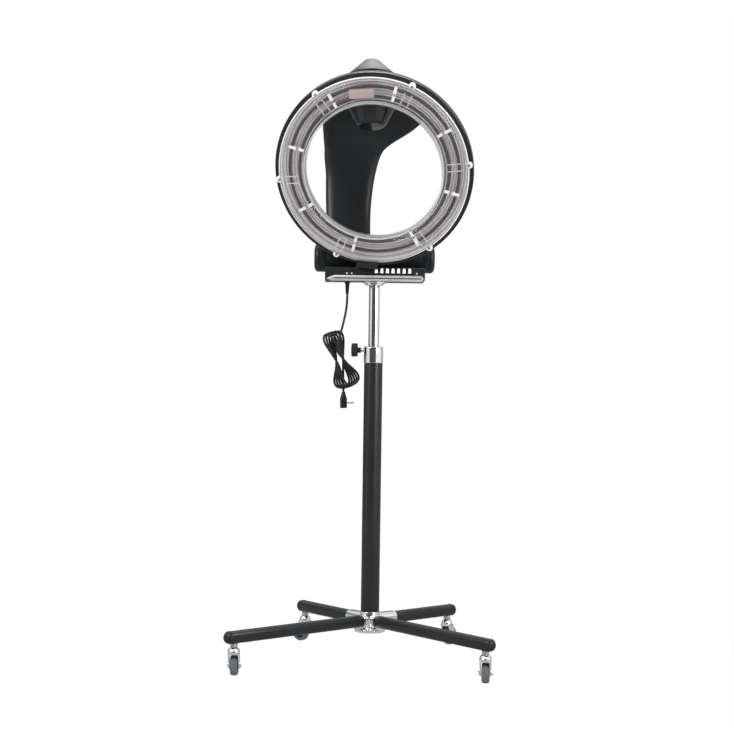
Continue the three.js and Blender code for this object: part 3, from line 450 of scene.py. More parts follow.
def copiesOf(name, unitMesh, count, radius, start, finish, place):
    unit = bpy.data.objects.new(name + "Unit", unitMesh)
    scene.collection.objects.link(unit)
    holder = bpy.data.objects.new(name + "Holder", bpy.data.meshes.new(name + "Holder"))
    scene.collection.objects.link(holder)
    modifier = holder.modifiers.new("copies", "NODES")
    modifier.node_group = copiesRound
    values = {"Unit": unit, "Count": count, "Radius": radius * mm, "Start": radians(start),
              "Finish": finishes[finish]}
    for item in copiesRound.interface.items_tree:
        if item.in_out == "INPUT" and item.name in values:
            modifier[item.identifier] = values[item.name]
    bpy.context.view_layer.update()
    seen = holder.evaluated_get(bpy.context.evaluated_depsgraph_get())
    mesh = bpy.data.meshes.new_from_object(seen)
    holder.modifiers.remove(modifier)
    bpy.data.objects.remove(holder)
    bpy.data.objects.remove(unit)
    mesh.transform(place)
    return mesh


# the mains lead leaves the console's floor, hangs and is folded into a hank
lead = {"exit": (-70.3, 57.7, 975.3), "relief": 32, "radius": 3.0, "loops": 5, "length": 150, "topFold": 23,
        "footFold": 44, "waist": 9, "pitch": 7.4, "lean": 20, "fan": -34, "centre": Vector((-18, 10, -205)),
        "start": 0.5 * pi, "end": 10.5 * pi, "before": 0.1, "after": 1.12, "perLoop": 22, "entry": 14,
        "drop": [(0, 0, -32.3), (0, 0, -48), (-2.5, -0.5, -75), (-9, -3, -108), (-17, -6, -142)]}
leadPlace = headPlace @ shift(*lead["exit"]) @ turnAbout("Z", -pose["leadTurn"])


def hankPoint(u):
    fold = (lead["topFold"] if cos(u) > 0 else lead["footFold"]) - lead["waist"]
    across = sin(u) * (lead["waist"] + fold * cos(u) ** 2)
    depth = lead["pitch"] * (u / (2 * pi) - lead["loops"] / 2)
    flat = Vector((across, depth, lead["length"] / 2 * cos(u)))
    lean = lead["lean"] + lead["fan"] * (u / (2 * pi * lead["loops"]) - 0.5)
    return Matrix.Rotation(radians(-lean), 3, "Y") @ flat + lead["centre"]


def hankHeading(u):
    return (hankPoint(u + 0.01) - hankPoint(u - 0.01)) / 0.02


def leadRoute():
    top = hankPoint(lead["start"]) - hankHeading(lead["start"]) * lead["before"]
    heading = hankHeading(lead["start"]).normalized()
    route = [Vector(p) for p in lead["drop"]] + [top - heading * lead["entry"]]
    steps = round((lead["end"] - lead["start"]) / (2 * pi) * lead["perLoop"])
    route += [hankPoint(lead["start"] + (lead["end"] - lead["start"]) * k / steps) for k in range(steps + 1)]
    tail = hankHeading(lead["end"]) * lead["after"]
    route += [hankPoint(lead["end"]) + tail * k / 3 for k in (1, 2, 3)]
    return [leadPlace @ (p * mm) for p in route], tail.normalized()


def tubeMesh(name, points, radius, sides=14, shut=False, place=Matrix()):
    bm = bmesh.new()
    count = len(points)
    rows = []
    normal = None
    for i, p in enumerate(points):
        after = points[(i + 1) % count] if shut or i + 1 < count else p
        before = points[i - 1] if shut or i else p
        heading = (after - before).normalized()
        if normal is None:
            normal = heading.orthogonal().normalized()
        normal = (normal - heading * normal.dot(heading)).normalized()
        other = heading.cross(normal)
        turns = [2 * pi * k / sides for k in range(sides)]
        rows.append([bm.verts.new(p + (normal * cos(a) + other * sin(a)) * radius) for a in turns])
    for i in range(count if shut else count - 1):
        one, two = rows[i], rows[(i + 1) % count]
        for k in range(sides):
            j = (k + 1) % sides
            bm.faces.new((one[k], one[j], two[j], two[k]))
    if not shut:
        bm.faces.new(rows[0])
        bm.faces.new(rows[-1])
    return meshOf(name, bm, place)


# a raised outline with rounded rims; the outline may bend inwards
def slab(name, outline, z0, z1, place, edge=0.8, segments=3):
    bm = bmesh.new()
    low = [bm.verts.new((x * mm, y * mm, z0 * mm)) for x, y in outline]
    high = [bm.verts.new((x * mm, y * mm, z1 * mm)) for x, y in outline]
    count = len(outline)
    bm.faces.new(low)
    bm.faces.new(high)
    for i in range(count):
        j = (i + 1) % count
        bm.faces.new((low[i], low[j], high[j], high[i]))
    if edge:
        rims = [e for e in bm.edges if abs(e.verts[0].co.z - e.verts[1].co.z) < 1e-9]
        bmesh.ops.bevel(bm, geom=rims, offset=edge * mm, segments=segments, profile=0.5, affect="EDGES",
                        clamp_overlap=True)
    return meshOf(name, bm, place)


# the shape minus its cutters
def carved(name, mesh, cutters):
    piece = bpy.data.objects.new(name + "Raw", mesh)
    scene.collection.objects.link(piece)
    tools = []
    for cutter in cutters:
        tool = bpy.data.objects.new(name + "Tool", cutter)
        scene.collection.objects.link(tool)
        tools.append(tool)
        modifier = piece.modifiers.new("cut", "BOOLEAN")
        modifier.operation = "DIFFERENCE"
        modifier.solver = "EXACT"
        modifier.object = tool
    bpy.context.view_layer.update()
    seen = piece.evaluated_get(bpy.context.evaluated_depsgraph_get())
    result = bpy.data.meshes.new_from_object(seen)
    for thing in tools + [piece]:
        bpy.data.objects.remove(thing)
    return result


alongX = Matrix(((0, 0, 1, 0), (1, 0, 0, 0), (0, 1, 0, 0), (0, 0, 0, 1)))  # a slab's height runs along X
facing = Matrix(((1, 0, 0, 0), (0, 0, -1, 0), (0, 1, 0, 0), (0, 0, 0, 1)))  # a slab faces the front
relief = {"ribs": range(-29, -8, 5), "rib": 2, "taper": 0.055, "nose": 0.9, "neck": 2.4, "flange": 4.5}
plug = {"grip": [(0, -17), (8, -17), (7, -12), (4.2, -fit), (0, -fit)], "wide": 18, "tall": 34, "corner": 6,
        "end": -44, "start": -16, "pin": 2.4, "pinFrom": 8, "pinTo": 28, "pinSide": 9.5, "pinZ": -30}


def makeLead():
    points, heading = leadRoute()
    data = bpy.data.curves.new("mainsLead", "CURVE")
    data.dimensions = "3D"
    data.bevel_depth = lead["radius"] * mm
    data.bevel_resolution = 5
    data.resolution_u = 6
    data.use_fill_caps = True
    spline = data.splines.new("BEZIER")
    spline.bezier_points.add(len(points) - 1)
    for spot, p in zip(spline.bezier_points, points):
        spot.co = p
        spot.handle_left_type = spot.handle_right_type = "AUTO"
    cord = bpy.data.objects.new("mainsLead", data)
    scene.collection.objects.link(cord)
    data.materials.append(finishes["cord_black"])
    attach(cord, "head")
    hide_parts("cord_drop", "cord_hank")
    length = sum((b - a).length for a, b in zip(points, points[1:]))

    r, deep, flange = lead["radius"], lead["relief"], lead["radius"] + relief["flange"]
    outline = [(0, -deep), (r + relief["nose"], -deep), (r + relief["neck"], -5), (flange, -4),
               (flange, -fit), (0, -fit)]
    parts = [turned("strainRelief", softened(outline, 1.0), leadPlace)]
    for z in relief["ribs"]:
        out, top = r + 1.5 + (z + deep) * relief["taper"], z + relief["rib"]
        shape = softened([(r + 0.4, z), (out, z), (out, top), (r + 0.4, top)], 0.6, True)
        parts.append(turned("reliefRib", shape, leadPlace, True, 40))
    sleeve = addPiece("strainRelief", joinMeshes("strainRelief", parts), "head", "cord_black",
                      replaced=["strain_relief"])

    hang = Vector((0, 0, -1)).rotation_difference(heading).to_matrix().to_4x4()
    place = Matrix.Translation(points[-1]) @ leadPlace.to_3x3().to_4x4() @ hang
    grip = turned("plugGrip", softened(plug["grip"], 1.2), place)
    outline = roundedRect(plug["wide"], plug["tall"], plug["corner"])
    block = slab("plugBody", outline, plug["end"], plug["start"], place, 2.2)
    pin = softened([(0, plug["pinFrom"]), (plug["pin"], plug["pinFrom"]), (plug["pin"], plug["pinTo"]),
                    (0, plug["pinTo"])], 0.9)
    spots = [place @ shift(0, side * plug["pinSide"], plug["pinZ"]) @ turnAbout("Y", 90) for side in (-1, 1)]
    pins = [turned("plugPin", pin, spot, segments=28) for spot in spots]
    shell = addPiece("plugShell", joinMeshes("plugShell", [grip, block]), "head", "cord_black",
                     replaced=["plug"])
    prongs = addPiece("plugPins", joinMeshes("plugPins", pins), "head", "steel")
    print("lead of", round(length, 3), "m")


makeLead()

# stand: base hub, legs, casters, column, collar, knob and mast
base = {"legZ": 95, "section": 29, "corner": 9, "socket": 33, "socketStart": 10, "frontReach": 428,
        "rearReach": 274, "frontStart": 32, "rearStart": 80, "overhang": 26, "cap": 14, "hubRadius": 25.5,
        "hubTop": 118, "spigot": 22, "spigotTop": 121, "flange": 40, "flangeZ": 66, "flangeHeight": 8,
        "capSteps": (0, 0.2, 0.4, 0.6, 0.75, 0.87, 0.96, 1)}
bearings = {"front_left": 225, "front_right": 315, "rear_left": 135, "rear_right": 45}


def makeStand():
    b = base
    low, high = b["flangeZ"], b["flangeZ"] + b["flangeHeight"]
    profile = [(0, low), (b["flange"], low), (b["flange"], high), (b["hubRadius"] + 3, high),
               (b["hubRadius"], high + 4), (b["hubRadius"], b["hubTop"]), (b["spigot"], b["hubTop"]),
               (b["spigot"], b["spigotTop"]), (0, b["spigotTop"])]
    parts = [turned("baseHub", softened(profile, 1.6), standPlace)]
    for corner in corners:
        kind = corner.split("_")[0]
        start = b[kind + "Start"]
        foot = b[kind + "Reach"] + b["overhang"] - b["cap"]
        out = standPlace @ turnAbout("Z", bearings[corner]) @ shift(0, 0, b["legZ"]) @ alongX
        socket = roundedRect(b["socket"], b["socket"], b["corner"] + 1)
        parts.append(slab("legSocket", socket, b["socketStart"], start - fit, out, 1.4))
        leg = slab("leg", roundedRect(b["section"], b["section"], b["corner"], 8), start, foot, out, 0.5, 2)
        addPiece("leg_bar_" + corner, leg, "stand", "black_paint", replaced=["leg_" + corner])
        ends = []
        for t in b["capSteps"]:
            size = (b["section"] + 1) * (0.3 + 0.7 * (1 - t ** 2.2) ** 0.5)
            outline = roundedRect(size, size, min(size * 0.49, b["corner"] + 0.5 + 5 * t), 8)
            ends.append([(x, y, foot + fit + b["cap"] * t) for x, y in outline])
        cap = lofted("legCap", ends, out)
        addPiece("leg_end_" + corner, cap, "stand", "black_plastic", replaced=["leg_cap_" + corner])
    addPiece("base_boss", joinMeshes("baseBoss", parts), "stand", "chrome", replaced=["base_hub"])


makeStand()

caster = {"radius": 25, "width": 18, "trail": 15, "bridge": 54, "wall": 2.6, "cheek": 9, "bridgeLong": 26,
          "capRadius": 15, "legUnder": 80.5, "crownGap": 9.3, "nut": 6.6, "axleEnd": 3.6, "stem": 5,
          "stemCollar": 9, "stemTop": 84,
          "turns": {"front_left": 4, "front_right": -3, "rear_left": 58, "rear_right": -28}}


def makeCaster(corner):
    c = caster
    spot = Vector(joints["swivel_" + corner]["pos_m"])
    stemPlace = Matrix.Translation((spot.x, spot.y, 0))
    place = stemPlace @ turnAbout("Z", c["turns"][corner])
    axle = place @ shift(0, c["trail"], c["radius"]) @ turnAbout("Y", 90)
    w, r, wall = c["width"] / 2, c["radius"], c["wall"]
    tread = softened([(17.5, -w + 1.5), (19.5, -w), (22.4, -w), (r, -w + 3.4), (r, w - 3.4), (22.4, w),
                      (19.5, w), (17.5, w - 1.5)], 2.2, True)
    addPiece("tyre_" + corner, turned("tyre", tread, axle, True, 80), "wheel_" + corner, "grey_rubber",
             replaced=["caster_wheel_" + corner])
    web = softened([(4.3, -w), (9.5, -w), (10.5, -w + 3.5), (16, -w + 3.8), (18, -w + 1.2), (18.4, 0),
                    (18, w - 1.2), (16, w - 3.8), (10.5, w - 3.5), (9.5, w), (4.3, w)], 0.9, True)
    addPiece("wheel_web_" + corner, turned("wheelWeb", web, axle, True, 64), "wheel_" + corner, "grey_rubber",
             "black_plastic")
    inner = w + 2
    half = inner + wall
    z = c["bridge"] + wall
    long = c["bridgeLong"] / 2
    arc = [(c["trail"] + c["cheek"] * cos(a), r + c["cheek"] * sin(a))
           for a in [pi + pi * k / 14 for k in range(15)]]
    outline = [(-long, z)] + arc + [(long, z)]
    parts = [slab("forkCheek", outline, side, side + wall, place @ alongX, 0.7) for side in (-half, inner)]
    parts.append(slab("forkBridge", roundedRect(2 * inner + 2 * wall, 2 * long, 3), z - wall, z, place, 0.9))
    top, wide = c["legUnder"] - c["crownGap"], c["capRadius"]
    crown = softened([(0, z - 1), (wide, z - 1), (wide, top - 9), (wide - 3, top - 3), (wide - 7, top),
                      (0, top)], 2.4)
    parts.append(turned("forkCrown", crown, place, segments=56))
    nut = [(c["nut"] * cos(pi / 3 * k), c["nut"] * sin(pi / 3 * k)) for k in range(6)]
    end = softened([(0, half), (c["axleEnd"], half), (c["axleEnd"], half + 3.9), (0, half + 4)], 0.7)
    for side in (0, 180):
        parts.append(slab("axleNut", nut, half - 0.4, half + 3.4, axle @ turnAbout("X", side), 0.7))
        parts.append(turned("axleEnd", end, axle @ turnAbout("X", side), segments=32))
    addPiece("fork_" + corner, joinMeshes("fork", parts), "caster_" + corner, "chrome",
             replaced=["caster_fork_" + corner])
    thin, thick, seat = c["stem"], c["stemCollar"], c["legUnder"] - fit
    stem = softened([(0, top - 1), (thin, top - 1), (thin, top + fit), (thick, top + fit), (thick, seat),
                     (thin, seat), (thin, c["stemTop"]), (0, c["stemTop"])], 0.6)
    addPiece("stem_" + corner, turned("stem", stem, stemPlace, segments=40), "stand", "steel",
             replaced=["caster_stem_" + corner])


for corner in corners:
    makeCaster(corner)
print("stand and casters made")

column = {"radius": 24, "wall": 2.5, "foot": 118.3, "top": 762, "collarRadius": 25, "collarTop": 805.3,
          "bush": 21.2, "bushFoot": 692}
mast = {"radius": 14, "wall": 2, "foot": 430, "top": 970, "flangeZ": 964, "flange": 31, "flangeStep": 7,
        "flangeLow": 5, "flangeHigh": 11}
knob = {"z": 795, "radius": 18, "thick": 15, "reach": 57, "lobes": 7, "lobe": 1.5, "perLobe": 16, "neck": 7,
        "neckFoot": 33, "neckTop": 44, "bore": 4.3, "face": 11}
screw = {"radius": 4, "groove": 0.45, "pitch": 0.62, "points": 57, "start": 14.3, "threadStart": 15,
         "end": 51}


# a hollow turned piece of one wall
def tubePiece(name, profile, soft, body, slot, node, segments=96, steps=4):
    outline = softened(profile, soft, True, steps)
    addPiece(name, turned(name, outline, standPlace, True, segments), body, slot, replaced=[node])


def makeColumn():
    r, bore, foot, top = column["radius"], column["radius"] - column["wall"], column["foot"], column["top"]
    tubePiece("column", [(bore, foot), (r, foot), (r, top), (bore, top)], 0.7, "stand", "black_paint",
              "column_tube")
    m, c, high, low = mast["radius"] + fit, column["collarRadius"], column["collarTop"], top + fit
    tubePiece("collar", [(m, low), (c, low), (c, high - 3), (c - 2.4, high), (m, high)], 0.8, "stand",
              "chrome", "column_collar", steps=3)
    b, low = column["bush"], column["bushFoot"]
    tubePiece("guideBush", [(m, low), (b, low), (b, top), (m, top)], 0.5, "stand", "black_plastic",
              "guide_bush", 64)
    r, bore, foot, top = mast["radius"], mast["radius"] - mast["wall"], mast["foot"], mast["top"]
    tubePiece("mast", [(bore, foot), (r, foot), (r, top), (bore, top)], 0.5, "mast", "chrome", "mast_tube")
    z, f, s = mast["flangeZ"], mast["flange"], mast["flange"] - mast["flangeStep"]
    tubePiece("mastFlange", [(m, z), (s, z), (s, z + mast["flangeLow"]), (f, z + mast["flangeLow"]),
                             (f, z + mast["flangeHigh"]), (m, z + mast["flangeHigh"])], 1.2, "mast", "chrome",
              "mast_flange")


def makeClamp():
    k = knob
    out = standPlace @ shift(0, 0, k["z"]) @ turnAbout("Y", -90)
    lobes = []
    count = k["lobes"] * k["perLobe"]
    for i in range(count):
        a = 2 * pi * i / count
        reach = k["radius"] - k["lobe"] + k["lobe"] * cos(k["lobes"] * a)
        lobes.append((reach * cos(a), reach * sin(a)))
    head = slab("knobHead", lobes, k["reach"] - k["thick"], k["reach"], out, 2.2, 4)
    neck = softened([(k["bore"], k["neckFoot"]), (k["neck"], k["neckFoot"]), (k["neck"], k["neckTop"]),
                     (k["bore"], k["neckTop"])], 0.8, True)
    face = softened([(0, k["reach"] - 0.4), (k["face"], k["reach"] - 0.4), (k["face"] - 1, k["reach"] - 0.05),
                     (0, k["reach"])], 0.3)
    parts = [head, turned("knobNeck", neck, out, True, 48), turned("knobFace", face, out, segments=48)]
    addPiece("clampKnob", joinMeshes("clampKnob", parts), "clamp_knob", "black_plastic",
             replaced=["clamp_knob"])
    thread = [(0, screw["start"])]
    for i in range(screw["points"]):
        reach = screw["radius"] - screw["groove"] * (i % 2)
        thread.append((reach, screw["threadStart"] + screw["pitch"] * i))
    thread.append((0, screw["end"]))
    addPiece("clampScrew", turned("clampScrew", thread, out, segments=32), "clamp_screw", "steel",
             replaced=["clamp_screw"])


makeColumn()
makeClamp()
print("column, mast and clamp made")

console = {"half": 128.5, "front": -50, "back": 84, "top": 1007, "foot": 978.6, "plateFoot": 975.3,
           "plate": 3, "plateCorner": 6, "cheek": 4, "barrelY": 47, "barrelZ": 1037, "barrelRadius": 37,
           "cradle": 38.5, "earWidth": 29, "groove": 0.42, "pin": 8, "corner": 2}
buttons = {"count": 7, "first": 3, "pitch": 14.3, "width": 8, "height": 12, "standing": 4, "z": 998.5,
           "stalk": 2, "stalkEnd": -9}
rail = {"width": 249, "height": 15, "bar": 6.2, "deep": 4, "foot": 971.3}
barrelPlace = headPlace @ shift(0, console["barrelY"], console["barrelZ"]) @ turnAbout("Y", 90)
barrelHalf = console["half"] - console["cheek"] - fit


def makeConsole():
    c = console
    y, z, r = c["barrelY"], c["barrelZ"], c["barrelRadius"]
    edge = (c["cradle"] ** 2 - (z - c["top"]) ** 2) ** 0.5
    start, end = atan2(c["top"] - z, -edge), atan2(c["top"] - z, edge)
    cradle = [(y + c["cradle"] * cos(start + (end - start) * k / 20),
               z + c["cradle"] * sin(start + (end - start) * k / 20)) for k in range(21)]
    outline = [(c["front"], c["foot"])]
    outline += softened([(c["front"], c["foot"]), (c["front"], c["top"]), cradle[0]], c["corner"])[1:-1]
    outline += cradle + [(c["back"], c["top"]), (c["back"], c["foot"])]
    parts = [slab("consoleShell", outline, -c["half"], c["half"], headPlace @ alongX, 1.2)]
    cheek = [(y + r * cos(2 * pi * k / 64), z + r * sin(2 * pi * k / 64)) for k in range(64)]
    for side in (-c["half"], c["half"] - c["cheek"]):
        parts.append(slab("consoleCheek", cheek, side, side + c["cheek"], headPlace @ alongX, 0.6, 2))
    addPiece("console", joinMeshes("console", parts), "head", "black_plastic", replaced=["control_box"])
    outline = roundedRect(2 * c["half"], c["back"] - c["front"], c["plateCorner"])
    floor = slab("consoleFloor", outline, c["plateFoot"], c["plateFoot"] + c["plate"],
                 headPlace @ shift(0, (c["back"] + c["front"]) / 2, 0), 0.6)
    addPiece("consoleFloor", floor, "head", "black_plastic", replaced=["control_base_plate"])
    w, groove = c["earWidth"], c["earWidth"] * c["groove"]
    profile = softened([(0, 0.2), (r, 0.2), (r, groove), (r - 0.9, groove + 0.5), (r - 0.9, groove + 1.3),
                        (r, groove + 1.8), (r, w - 9), (r - 2, w - 5), (r - 7, w - 1.5), (r - 14, w), (9, w),
                        (8, w - 0.8), (0, w - 0.8)], 1.5)
    for name, side in (("left", -1), ("right", 1)):
        place = headPlace @ shift(side * (c["half"] + fit), y, z) @ turnAbout("Y", 90 * side)
        addPiece("ear_" + name, turned("ear", profile, place, segments=80), "head", "black_plastic",
                 replaced=["hinge_ear_" + name])
    bore = c["pin"] + fit
    drum = softened([(bore, -barrelHalf), (r, -barrelHalf), (r, barrelHalf), (bore, barrelHalf)], 1.0, True)
    addPiece("tiltDrum", turned("tiltDrum", drum, barrelPlace, True, 96), "arm", "black_plastic",
             replaced=["tilt_barrel"])


def makeButtons():
    b = buttons
    w, h, stalk = b["width"] / 2, b["height"] / 2, b["stalk"]
    shape = softened([(-w, -h), (w, -h), (w - 1, h), (1 - w, h)], 0.9, True, 3)
    for i in range(b["count"]):
        place = headPlace @ shift(b["first"] + i * b["pitch"], console["front"], b["z"]) @ facing
        post = [(0, b["stalkEnd"]), (stalk, b["stalkEnd"]), (stalk, -2), (0, -2)]
        parts = [slab("button", shape, -3, b["standing"], place, 0.9),
                 turned("buttonStalk", post, place, segments=24)]
        button = "button_" + str(i + 1)
        addPiece("key_" + str(i + 1), joinMeshes("key", parts), button, "white_plastic", replaced=[button])


lamps = {"spots": ((-72, 991), (-59.4, 991), (106.9, 992.5)), "radius": 2.6, "standing": 1.3, "back": -2.5}


# small round indicator lamps on the console's front
def makeLamps():
    r, out, back = lamps["radius"], lamps["standing"], lamps["back"]
    shape = softened([(0, back), (r - 0.5, back), (r - 0.5, 0), (r, 0.05), (r, 0.5), (r * 0.7, out),
                      (0, out)], 0.5)
    for i, (x, z) in enumerate(lamps["spots"]):
        place = headPlace @ shift(x, console["front"], z) @ facing
        lamp = turned("lamp", shape, place, segments=32)
        addPiece("lamp_" + str(i + 1), lamp, "head", "white_plastic", "lens")


# a chrome loop, pointed at the left and round at the right
def makeRail():
    h, w, bar = rail["height"] / 2, rail["width"] / 2, rail["bar"]
    place = headPlace @ shift(0, console["front"] - fit, rail["foot"] + h) @ facing

    def loop(inset):
        r = h - inset
        bow = [(w - h + r * cos(a), r * sin(a)) for a in [-pi / 2 + pi * k / 20 for k in range(21)]]
        return bow + [(-w + 20 + inset * 0.3, r), (-w + inset * 2.6, -r * 0.2), (-w + 12 + inset, -r)]

    body = carved("rail", slab("railBar", loop(0), 0, rail["deep"], place, 1.4),
                  [slab("railSlot", loop(bar), -9, 9, place, 0)])
    addPiece("rail", body, "head", "chrome", "bright_rail", ["chrome_rail"])


makeConsole()
makeButtons()
makeLamps()
makeRail()
print("console, hinge and buttons made")

# stations of the arm: x, y, z of its middle, width and thickness
arm = {"wall": 3, "seam": 0.4, "steps": 56, "around": 24, "soft": 0.55, "stations": [
    (-62, 62, 1056, 108, 40), (-68, 88, 1104, 114, 42), (-70, 107, 1180, 120, 44), (-66, 112, 1262, 131, 44),
    (-57, 103, 1330, 158, 44), (-20.5, 80, 1384, 241, 43), (4, 42, 1432, 290, 40), (-2, -14, 1468, 262, 34),
    (-16, -138, 1484, 90, 24)]}
hub = {"radius": 66, "foot": 9, "floor": 4, "skirt": 3, "top": 17, "wall": 4, "capTop": 58, "capRadius": 18,
       "room": 40, "shaft": 13}


# a smooth curve through points, evenly in their numbers, as the CAD draws it
def through(points, t):
    span = t * (len(points) - 1)
    i = min(int(span), len(points) - 2)
    f = span - i
    p1, p2 = Vector(points[i]), Vector(points[i + 1])
    p0 = Vector(points[i - 1]) if i else p1 * 2 - p2
    p3 = Vector(points[i + 2]) if i + 2 < len(points) else p2 * 2 - p1
    gaps = [max((b - a).length_squared ** 0.25, 1e-4) for a, b in ((p0, p1), (p1, p2), (p2, p3))]
    m1 = ((p1 - p0) / gaps[0] - (p2 - p0) / (gaps[0] + gaps[1]) + (p2 - p1) / gaps[1]) * gaps[1]
    m2 = ((p2 - p1) / gaps[1] - (p3 - p1) / (gaps[1] + gaps[2]) + (p3 - p2) / gaps[2]) * gaps[1]
    return (p1 * (2 * f ** 3 - 3 * f ** 2 + 1) + m1 * (f ** 3 - 2 * f ** 2 + f)
            + p2 * (3 * f ** 2 - 2 * f ** 3) + m2 * (f ** 3 - f ** 2))


def armShell(name, sign):
    path = [(x, y, z) for x, y, z, w, t in arm["stations"]]
    sizes = [(w, t, 0) for x, y, z, w, t in arm["stations"]]
    loops = []
    for k in range(arm["steps"] + 1):
        t = k / arm["steps"]
        p, size = through(path, t), through(sizes, t)
        along = (through(path, min(1, t + 0.001)) - through(path, max(0, t - 0.001))).normalized()
        front = Vector((0, -along.z, along.y))
        loop = []
        for inset in (0, 2 * arm["wall"]):  # outer skin, then the inner one back
            row = []
            for i in range(arm["around"] + 1):
                a = pi * i / arm["around"]
                across = -abs(cos(a)) ** arm["soft"] * (1 if cos(a) > 0 else -1) * (size.x - inset) / 2
                out = sign * (arm["seam"] / 2 + abs(sin(a)) ** arm["soft"] * (size.y - inset) / 2)
                row.append(tuple(p + Vector((across, 0, 0)) + front * out))
            loop += reversed(row) if inset else row
        loops.append(loop)
    return lofted(name, loops, headPlace)


def coneRadius(w):
    foot = hub["foot"] + hub["skirt"]
    return hub["radius"] - (hub["radius"] - hub["capRadius"]) / (hub["capTop"] - foot) * max(0, w - foot)


def makeArm():
    h = hub
    foot, skirt, lid = h["foot"], h["foot"] + h["skirt"], h["top"] + fit
    wide, narrow, peak, under = h["radius"] + fit, h["capRadius"] + fit, h["capTop"] + fit, h["foot"] - 12
    cone = [(0, under), (wide, under), (wide, skirt), (narrow, peak), (0, peak)]
    r = console["barrelRadius"] + fit
    drum = [(0, -barrelHalf), (r, -barrelHalf), (r, barrelHalf), (0, barrelHalf)]
    for name, sign in (("front", 1), ("rear", -1)):
        cutters = [turned("coneTool", cone, hubPlace, segments=96),
                   turned("drumTool", drum, barrelPlace, segments=96)]
        shell = carved("armShell", armShell("armShell", sign), cutters)
        addPiece("arm_shell_" + name, shell, "arm", "black_plastic", replaced=["arm_" + name + "_shell"],
                 smooth=50)
    bore, floor = h["shaft"] + fit, foot + h["floor"]
    shell = softened([(bore, foot), (h["radius"], foot), (h["radius"], skirt), (coneRadius(h["top"]),
                      h["top"]), (h["room"], h["top"]), (h["room"], floor), (bore, floor)], 1.2, True)
    addPiece("hubHousing", turned("hubHousing", shell, hubPlace, True, 112), "arm", "black_plastic",
             replaced=["hub_housing"])
    rim, wall, top, r = coneRadius(lid), h["wall"], h["capTop"], h["capRadius"]
    cap = softened([(0, top), (r, top), (rim, lid), (rim - wall, lid), (r - wall, top - wall),
                    (0, top - wall)], 2.2)
    # the cap's lighter base colour is a painted sheen of the top light
    addPiece("hubCap", turned("hubCap", cap, hubPlace, segments=112), "arm", "black_plastic", "cap_painted_sheen",
             ["hub_cap"])


makeArm()
print("arm and hub made")

# depths on the ring are measured back from the cover's face
ring = {"radius": 250, "bore": 176, "back": 62, "front": 24, "wall": 3, "round": 12, "segments": 160,
        "panInside": 1.3, "panOutside": 2.3, "panWall": 1.5, "panFront": 10}
heaters = {"spacing": 25, "radius": 4, "behind": 24, "inward": 11.5, "points": 180, "sides": 16,
           "holders": 8, "holderTurn": 26, "holderWide": 7.5, "clips": ((11, 20), (-12.5, 14))}
block = {"turn": 4, "radius": 199, "long": 62, "wide": 22, "low": 9, "high": 20, "posts": (-24, 24)}
cover = {"radius": 236, "bore": 171.5, "wall": 2.5, "skirt": 16, "highlightBead": 3.4, "lugs": 6, "lugTurn": 2,
         "lugRadius": 8.5, "lugOut": 4, "lugHeight": 9, "screw": 4.2, "ribs": (-9, 9), "ribWide": 2.2}
sensor = {"wide": 58, "deep": 25, "turn": -8, "sweep": 6.6, "steps": 12}
panBack = ring["back"] - ring["wall"] - fit
heaterDepth = ring["back"] - heaters["behind"]


def ringLathe(name, profile, soft):
    outline = softened([(r, -depth) for r, depth in profile], soft, True)
    return turned(name, outline, ringPlace, True, ring["segments"])


def makeShroud():
    rim, bore, back, front, s = ring["radius"], ring["bore"], ring["back"], ring["front"], ring["wall"]
    bend, lip = ring["round"], cover["radius"] + 1
    shroud = [(rim, front), (rim, back - 16), (rim - 6, back - 4), (rim - 16, back), (bore + bend, back),
              (bore, back - bend), (bore, front + 6), (bore + s, front + 6), (bore + s, back - bend - s),
              (bore + bend, back - s), (rim - 16, back - s), (rim - 6 - s, back - 6), (rim - s, back - 17),
              (rim - s, front + s), (lip, front + s), (lip, front)]
    addPiece("shroud", ringLathe("shroud", shroud, 3.0), "ring", "gloss_black", replaced=["ring_shroud"])
    inner, outer = bore + s + ring["panInside"], rim - s - ring["panOutside"]
    wall, edge = ring["panWall"], front + ring["panFront"]
    pan = [(inner, edge), (inner + wall, edge)]
    for k in range(flutes["count"] * flutes["steps"] + 1):
        rise = flutes["rise"] * abs(sin(pi * k / flutes["steps"]))
        pan.append((flutes["start"] + flutes["pitch"] * k / flutes["steps"], panBack - wall - rise))
    pan += [(outer - wall, edge), (outer, edge), (outer - 17, panBack), (inner + 10, panBack)]
    addPiece("reflector", ringLathe("reflector", pan, 0.5), "ring", "reflector", replaced=["ring_reflector"])
    return (inner + outer) / 2 - heaters["inward"]


